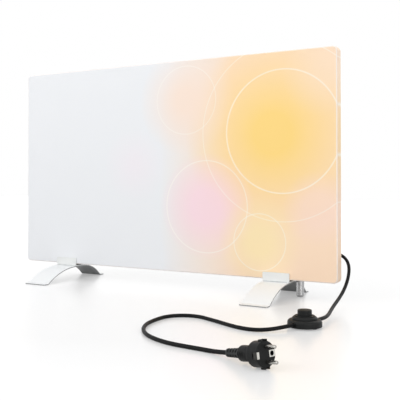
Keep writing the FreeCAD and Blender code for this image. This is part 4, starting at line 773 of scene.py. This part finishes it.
@dataclass
class BendRelief:
    """The plug's bend relief: rounded rings on a core and two spines, with slots between them."""

    node: str = "plug_boot"
    tail: Place = (0.4050, -0.4610, 0.0073)
    turn: float = -22.0
    tilt: float = 9.5
    length: float = 0.0290
    tail_radius: float = 0.0057
    root_radius: float = 0.0069
    core_radius: float = 0.0033
    slot_start: float = 0.0034
    slot_pitch: float = 0.0056
    slot_width: float = 0.0033
    slot_count: int = 4
    spine: float = 0.0026
    spine_inset: float = 0.0002
    rounding: float = 0.0005
    rounding_steps: int = 3
    sharp_over: float = 50.0
    smooth_under: float = 40.0
    ring_sides: int = 48
    core_sides: int = 32

    def radius_at(self, along: float) -> float:
        """The rings' radius at a distance from the tail."""
        return self.tail_radius + (self.root_radius - self.tail_radius) * along / self.length

    def slots(self) -> list[float]:
        """Where the slots start, as distances from the tail."""
        return [self.slot_start + index * self.slot_pitch for index in range(self.slot_count)]

    def rounded(self, part: bpy.types.Object) -> bpy.types.Object:
        """Rounds a part's sharp edges."""
        bevel = part.modifiers.new("rounding", "BEVEL")
        bevel.width = self.rounding
        bevel.segments = self.rounding_steps
        bevel.limit_method = "ANGLE"
        bevel.angle_limit = math.radians(self.sharp_over)
        bpy.ops.object.modifier_apply(modifier=bevel.name)
        return part

    def ring(self, start: float, end: float) -> bpy.types.Object:
        """Turns one ring along Z.

        Args:
            start: Where it starts, from the tail.
            end: Where it ends.

        Returns:
            The ring's object.
        """
        bpy.ops.object.select_all(action="DESELECT")
        bpy.ops.mesh.primitive_cone_add(vertices=self.ring_sides, radius1=self.radius_at(start),
                                        radius2=self.radius_at(end), depth=end - start,
                                        location=(0.0, 0.0, (start + end) / 2))
        return self.rounded(bpy.context.object)

    def bridge(self, start: float) -> bpy.types.Object:
        """Makes the two spines' stretch across one slot, as one bar through the core.

        Args:
            start: Where the slot starts, from the tail.

        Returns:
            The bar's object.
        """
        middle = start + self.slot_width / 2
        reach = 2 * (self.radius_at(middle) - self.spine_inset)
        bpy.ops.object.select_all(action="DESELECT")
        bpy.ops.mesh.primitive_cube_add(size=1.0, location=(0.0, 0.0, middle),
                                        scale=(reach, self.spine, self.slot_width + 4 * self.rounding))
        bpy.ops.object.transform_apply(location=False, rotation=False, scale=True)
        return self.rounded(bpy.context.object)

    def core(self) -> bpy.types.Object:
        """Turns the core that the rings sit on, within the first and last ring."""
        depth = self.length - 2 * self.rounding
        bpy.ops.object.select_all(action="DESELECT")
        bpy.ops.mesh.primitive_cylinder_add(vertices=self.core_sides, radius=self.core_radius, depth=depth,
                                            location=(0.0, 0.0, self.length / 2))
        return self.rounded(bpy.context.object)

    def lie(self) -> Matrix:
        """How the relief lies: its tail's place, with its length turned and tilted as the plug is."""
        turn, tilt = math.radians(self.turn), math.radians(self.tilt)
        along = Vector((math.cos(tilt) * math.cos(turn), math.cos(tilt) * math.sin(turn), math.sin(tilt)))
        side = Vector((-math.sin(turn), math.cos(turn), 0.0))
        turned = Matrix((side, along.cross(side), along)).transposed()
        return Matrix.Translation(self.tail) @ turned.to_4x4()

    def build(self, finishes: Finishes) -> bpy.types.Object:
        """Makes the relief in the place of its solid.

        Args:
            finishes: The finishes to choose from.

        Returns:
            The relief's object.
        """
        slots = self.slots()
        ring_starts = [0.0, *(start + self.slot_width for start in slots)]
        ring_ends = [*slots, self.length]
        parts = [self.ring(start, end) for start, end in zip(ring_starts, ring_ends)]
        parts += [self.bridge(start) for start in slots]
        for part in parts:
            part.data.materials.append(finishes.get("boot_rubber"))
        # The core shows through the slots; its near-black is painted shade.
        piece = self.core()
        piece.data.materials.append(finishes.get("boot_slot_shade"))
        for part in parts:
            part.select_set(True)
        bpy.ops.object.join()
        piece.name = f"{self.node}_rings"
        bpy.ops.object.transform_apply(location=True, rotation=True, scale=True)
        piece.matrix_world = self.lie()
        bpy.ops.object.transform_apply(location=True, rotation=True, scale=True)
        bpy.ops.object.shade_smooth_by_angle(angle=math.radians(self.smooth_under))
        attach(piece, Body.HEATER.value)
        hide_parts(self.node)
        LOG.info("%s made with %d slots", piece.name, self.slot_count)
        return piece


@dataclass
class MainsPlug:
    """The moulded plug at the lead's end."""

    relief: BendRelief = field(default_factory=BendRelief)
    looks: dict[str, str] = field(default_factory=lambda: {
        "plug_boot": "boot_rubber",
        "plug_body": "plug_plastic",
        "plug_pins": "nickel",
        "plug_earth_strips": "contact_nickel",
    })

    def build(self, finishes: Finishes) -> None:
        """Dresses the plug's solids and makes its bend relief."""
        dress(finishes, self.looks)
        self.relief.build(finishes)


@dataclass
class LeadStretch:
    """One free stretch of the mains lead, from where it comes out to what it ends in."""

    node: str
    end: LeadEnd
    length: float
    goes_with: tuple[str, ...]
    route: tuple[Place, ...]
    diameter: float = 0.0064
    round_steps: int = 6
    run_steps: int = 10

    def build(self, finishes: Finishes) -> bpy.types.Object:
        """Makes the stretch as one smooth spline.

        Args:
            finishes: The finishes to choose from.

        Returns:
            The lead's object.
        """
        shape = bpy.data.curves.new(f"{self.node}_sheath", "CURVE")
        shape.dimensions = "3D"
        shape.bevel_depth = self.diameter / 2
        shape.bevel_resolution = self.round_steps
        shape.resolution_u = self.run_steps
        shape.use_fill_caps = True
        spline = shape.splines.new("NURBS")
        spline.points.add(len(self.route) - 1)
        for spot, place in zip(spline.points, self.route):
            spot.co = (*place, 1.0)
        spline.order_u = 3
        spline.use_endpoint_u = True
        piece = bpy.data.objects.new(f"{self.node}_sheath", shape)
        bpy.context.scene.collection.objects.link(piece)
        shape.materials.append(finishes.get("lead_sheath"))
        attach(piece, Body.HEATER.value)
        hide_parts(self.node)
        LOG.info("%s made, %.3f m long", piece.name, self.length)
        return piece


@dataclass
class MainsLead:
    """The mains lead: from the panel to the foot switch, and on to the plug."""

    panel_side: LeadStretch = field(default_factory=lambda: LeadStretch(
        node="flex_panel_side",
        end=LeadEnd.FOOT_SWITCH,
        length=0.310,
        goes_with=("switch_pads", "switch_base", "switch_housing", "switch_button", "switch_spring_coil",
                   "switch_mechanism", "switch_bushings", "switch_screws"),
        route=(
            (0.3625, 0.0470, 0.0920),
            (0.3825, 0.0470, 0.0920),
            (0.4015, 0.0420, 0.0850),
            (0.4140, 0.0290, 0.0725),
            (0.4190, 0.0125, 0.0560),
            (0.4205, -0.0080, 0.0400),
            (0.4213, -0.0310, 0.0285),
            (0.4223, -0.0580, 0.0200),
            (0.4243, -0.0880, 0.0140),
            (0.4287, -0.1190, 0.0100),
            (0.4350, -0.1490, 0.0079),
            (0.43801, -0.18026, 0.0074),
            (0.43183, -0.19928, 0.0074),
        ),
    ))
    plug_side: LeadStretch = field(default_factory=lambda: LeadStretch(
        node="flex_plug_side",
        end=LeadEnd.PLUG,
        length=0.586,
        goes_with=("plug_boot_rings", "plug_body", "plug_pins", "plug_earth_strips"),
        route=(
            (0.41317, -0.25672, 0.0074),
            (0.40699, -0.27574, 0.0074),
            (0.3925, -0.2910, 0.0052),
            (0.3725, -0.3000, 0.0034),
            (0.3485, -0.3000, 0.0032),
            (0.3225, -0.2910, 0.0032),
            (0.2955, -0.2770, 0.0032),
            (0.2665, -0.2630, 0.0032),
            (0.2415, -0.2520, 0.0032),
            (0.2205, -0.2525, 0.0032),
            (0.2020, -0.2620, 0.0032),
            (0.1900, -0.2810, 0.0032),
            (0.1895, -0.3065, 0.0032),
            (0.1925, -0.3345, 0.0032),
            (0.2015, -0.3615, 0.0032),
            (0.2170, -0.3875, 0.0032),
            (0.2395, -0.4115, 0.0032),
            (0.2665, -0.4285, 0.0032),
            (0.2950, -0.4400, 0.0032),
            (0.3250, -0.4450, 0.0032),
            (0.3545, -0.4475, 0.0032),
            (0.38305, -0.45213, 0.0034),
            (0.4050, -0.4610, 0.0073),
        ),
    ))

    def build(self, finishes: Finishes) -> None:
        """Makes both stretches."""
        self.panel_side.build(finishes)
        self.plug_side.build(finishes)


@dataclass(frozen=True)
class SoftLamp:
    """A soft square lamp: its place and what it points at, its side in metres and its power in watts."""

    name: str
    place: Place
    target: Place
    size: float
    power: float

    def build(self) -> None:
        """Adds the lamp."""
        data = bpy.data.lights.new(self.name, "AREA")
        data.size = self.size
        data.energy = self.power
        lamp = bpy.data.objects.new(self.name, data)
        lamp.location = self.place
        lamp.rotation_euler = (Vector(self.target) - Vector(self.place)).to_track_quat("-Z", "Y").to_euler()
        bpy.context.scene.collection.objects.link(lamp)


@dataclass
class Studio:
    """The camera, the soft lights and the pale floor."""

    camera_place: Place = (0.8337, -1.2840, 0.2383)
    camera_yaw: float = 29.839
    camera_pitch: float = 0.916
    focal_pixels: float = 693.0
    shift_pixels: float = -31.83
    image_pixels: float = 400.0
    sensor: float = 36.0
    floor_size: float = 12.0
    floor_colour: Colour = (0.61, 0.61, 0.61)
    floor_roughness: float = 0.24
    floor_glow: Span = (0.295, 0.65)
    glow_reach: Span = (0.5, 2.2)
    even_light: float = 0.60
    background: float = 1.0
    lamps: tuple[SoftLamp, ...] = (
        SoftLamp("key_lamp", (-2.0, -2.3, 1.6), (0.0, 0.0, 0.25), 1.8, 37.0),
        SoftLamp("fill_lamp", (2.0, -1.5, 0.8), (0.2, 0.0, 0.25), 1.4, 17.0),
        SoftLamp("top_lamp", (0.2, -0.2, 2.4), (0.1, -0.1, 0.0), 1.6, 6.0),
        SoftLamp("back_lamp", (0.9, 2.2, 1.4), (0.1, 0.0, 0.2), 1.8, 11.0),
    )

    def camera(self) -> None:
        """Sets the camera at the photograph's view."""
        data = bpy.data.cameras.new("studio_camera")
        data.sensor_width = self.sensor
        data.lens = self.focal_pixels / self.image_pixels * self.sensor
        data.shift_y = self.shift_pixels / self.image_pixels
        eye = bpy.data.objects.new("studio_camera", data)
        eye.location = self.camera_place
        eye.rotation_euler = (math.radians(90.0 + self.camera_pitch), 0.0, math.radians(self.camera_yaw))
        bpy.context.scene.collection.objects.link(eye)
        bpy.context.scene.camera = eye

    def lights(self) -> None:
        """Adds the lamps and the world's even light."""
        for lamp in self.lamps:
            lamp.build()
        world = bpy.data.worlds.new("studio_world")
        world.use_nodes = True
        tree = world.node_tree
        tree.nodes.clear()
        rays = tree.nodes.new("ShaderNodeLightPath")
        even = tree.nodes.new("ShaderNodeBackground")
        even.inputs["Color"].default_value = (1.0, 1.0, 1.0, 1.0)
        even.inputs["Strength"].default_value = self.even_light
        plain = tree.nodes.new("ShaderNodeBackground")
        plain.inputs["Color"].default_value = (1.0, 1.0, 1.0, 1.0)
        plain.inputs["Strength"].default_value = self.background
        choose = tree.nodes.new("ShaderNodeMixShader")
        output = tree.nodes.new("ShaderNodeOutputWorld")
        tree.links.new(self.seen(tree, rays), choose.inputs["Fac"])
        tree.links.new(even.outputs["Background"], choose.inputs[1])
        tree.links.new(plain.outputs["Background"], choose.inputs[2])
        tree.links.new(choose.outputs["Shader"], output.inputs["Surface"])
        bpy.context.scene.world = world

    def seen(self, tree: bpy.types.NodeTree, rays: bpy.types.Node) -> bpy.types.NodeSocket:
        """A share that is 1 for what the camera sees, straight or in a reflection.

        Args:
            tree: The node tree.
            rays: Its light path node.

        Returns:
            A number socket.
        """
        share = rays.outputs["Is Camera Ray"]
        for name in ("Is Glossy Ray", "Is Transmission Ray"):
            larger = tree.nodes.new("ShaderNodeMath")
            larger.operation = "MAXIMUM"
            tree.links.new(share, larger.inputs[0])
            tree.links.new(rays.outputs[name], larger.inputs[1])
            share = larger.outputs["Value"]
        return share

    def floor(self) -> None:
        """Lays the pale floor."""
        bpy.ops.object.select_all(action="DESELECT")
        bpy.ops.mesh.primitive_plane_add(size=self.floor_size, location=(0.0, 0.0, 0.0))
        ground = bpy.context.object
        ground.name = "studio_floor"
        sheet = ShaderSheet("studio_floor")
        sheet.colour(self.floor_colour)
        sheet.feed("Roughness", self.floor_roughness)
        glow = sheet.node("ShaderNodeEmission")
        rays = sheet.node("ShaderNodeLightPath")
        away = sheet.node("ShaderNodeVectorMath", vector=sheet.spot())
        away.operation = "LENGTH"
        level = sheet.remap(away.outputs["Value"], self.glow_reach, self.floor_glow)
        strength = sheet.sum("MULTIPLY", self.seen(sheet.tree, rays), level)
        sheet.tree.links.new(strength, glow.inputs["Strength"])
        both = sheet.node("ShaderNodeAddShader")
        sheet.tree.links.new(sheet.shader.outputs["BSDF"], both.inputs[0])
        sheet.tree.links.new(glow.outputs["Emission"], both.inputs[1])
        sheet.tree.links.new(both.outputs["Shader"], sheet.output.inputs["Surface"])
        ground.data.materials.append(sheet.material)

    def build(self) -> None:
        """Sets up the studio."""
        self.camera()
        self.lights()
        self.floor()
        bpy.context.scene.view_settings.view_transform = "Standard"


def main() -> None:
    """Builds the foot warmer's looks, sub-assembly by sub-assembly."""
    logging.basicConfig(level=logging.INFO, format="%(name)s: %(message)s")
    Studio().build()
    finishes = Finishes()
    for assembly in (HeatingPanel(), StrapFeet(), TerminalBox(), FootSwitch(), MainsPlug(), MainsLead()):
        assembly.build(finishes)
        LOG.info("%s is dressed", type(assembly).__name__)


if __name__ == "__main__":
    main()
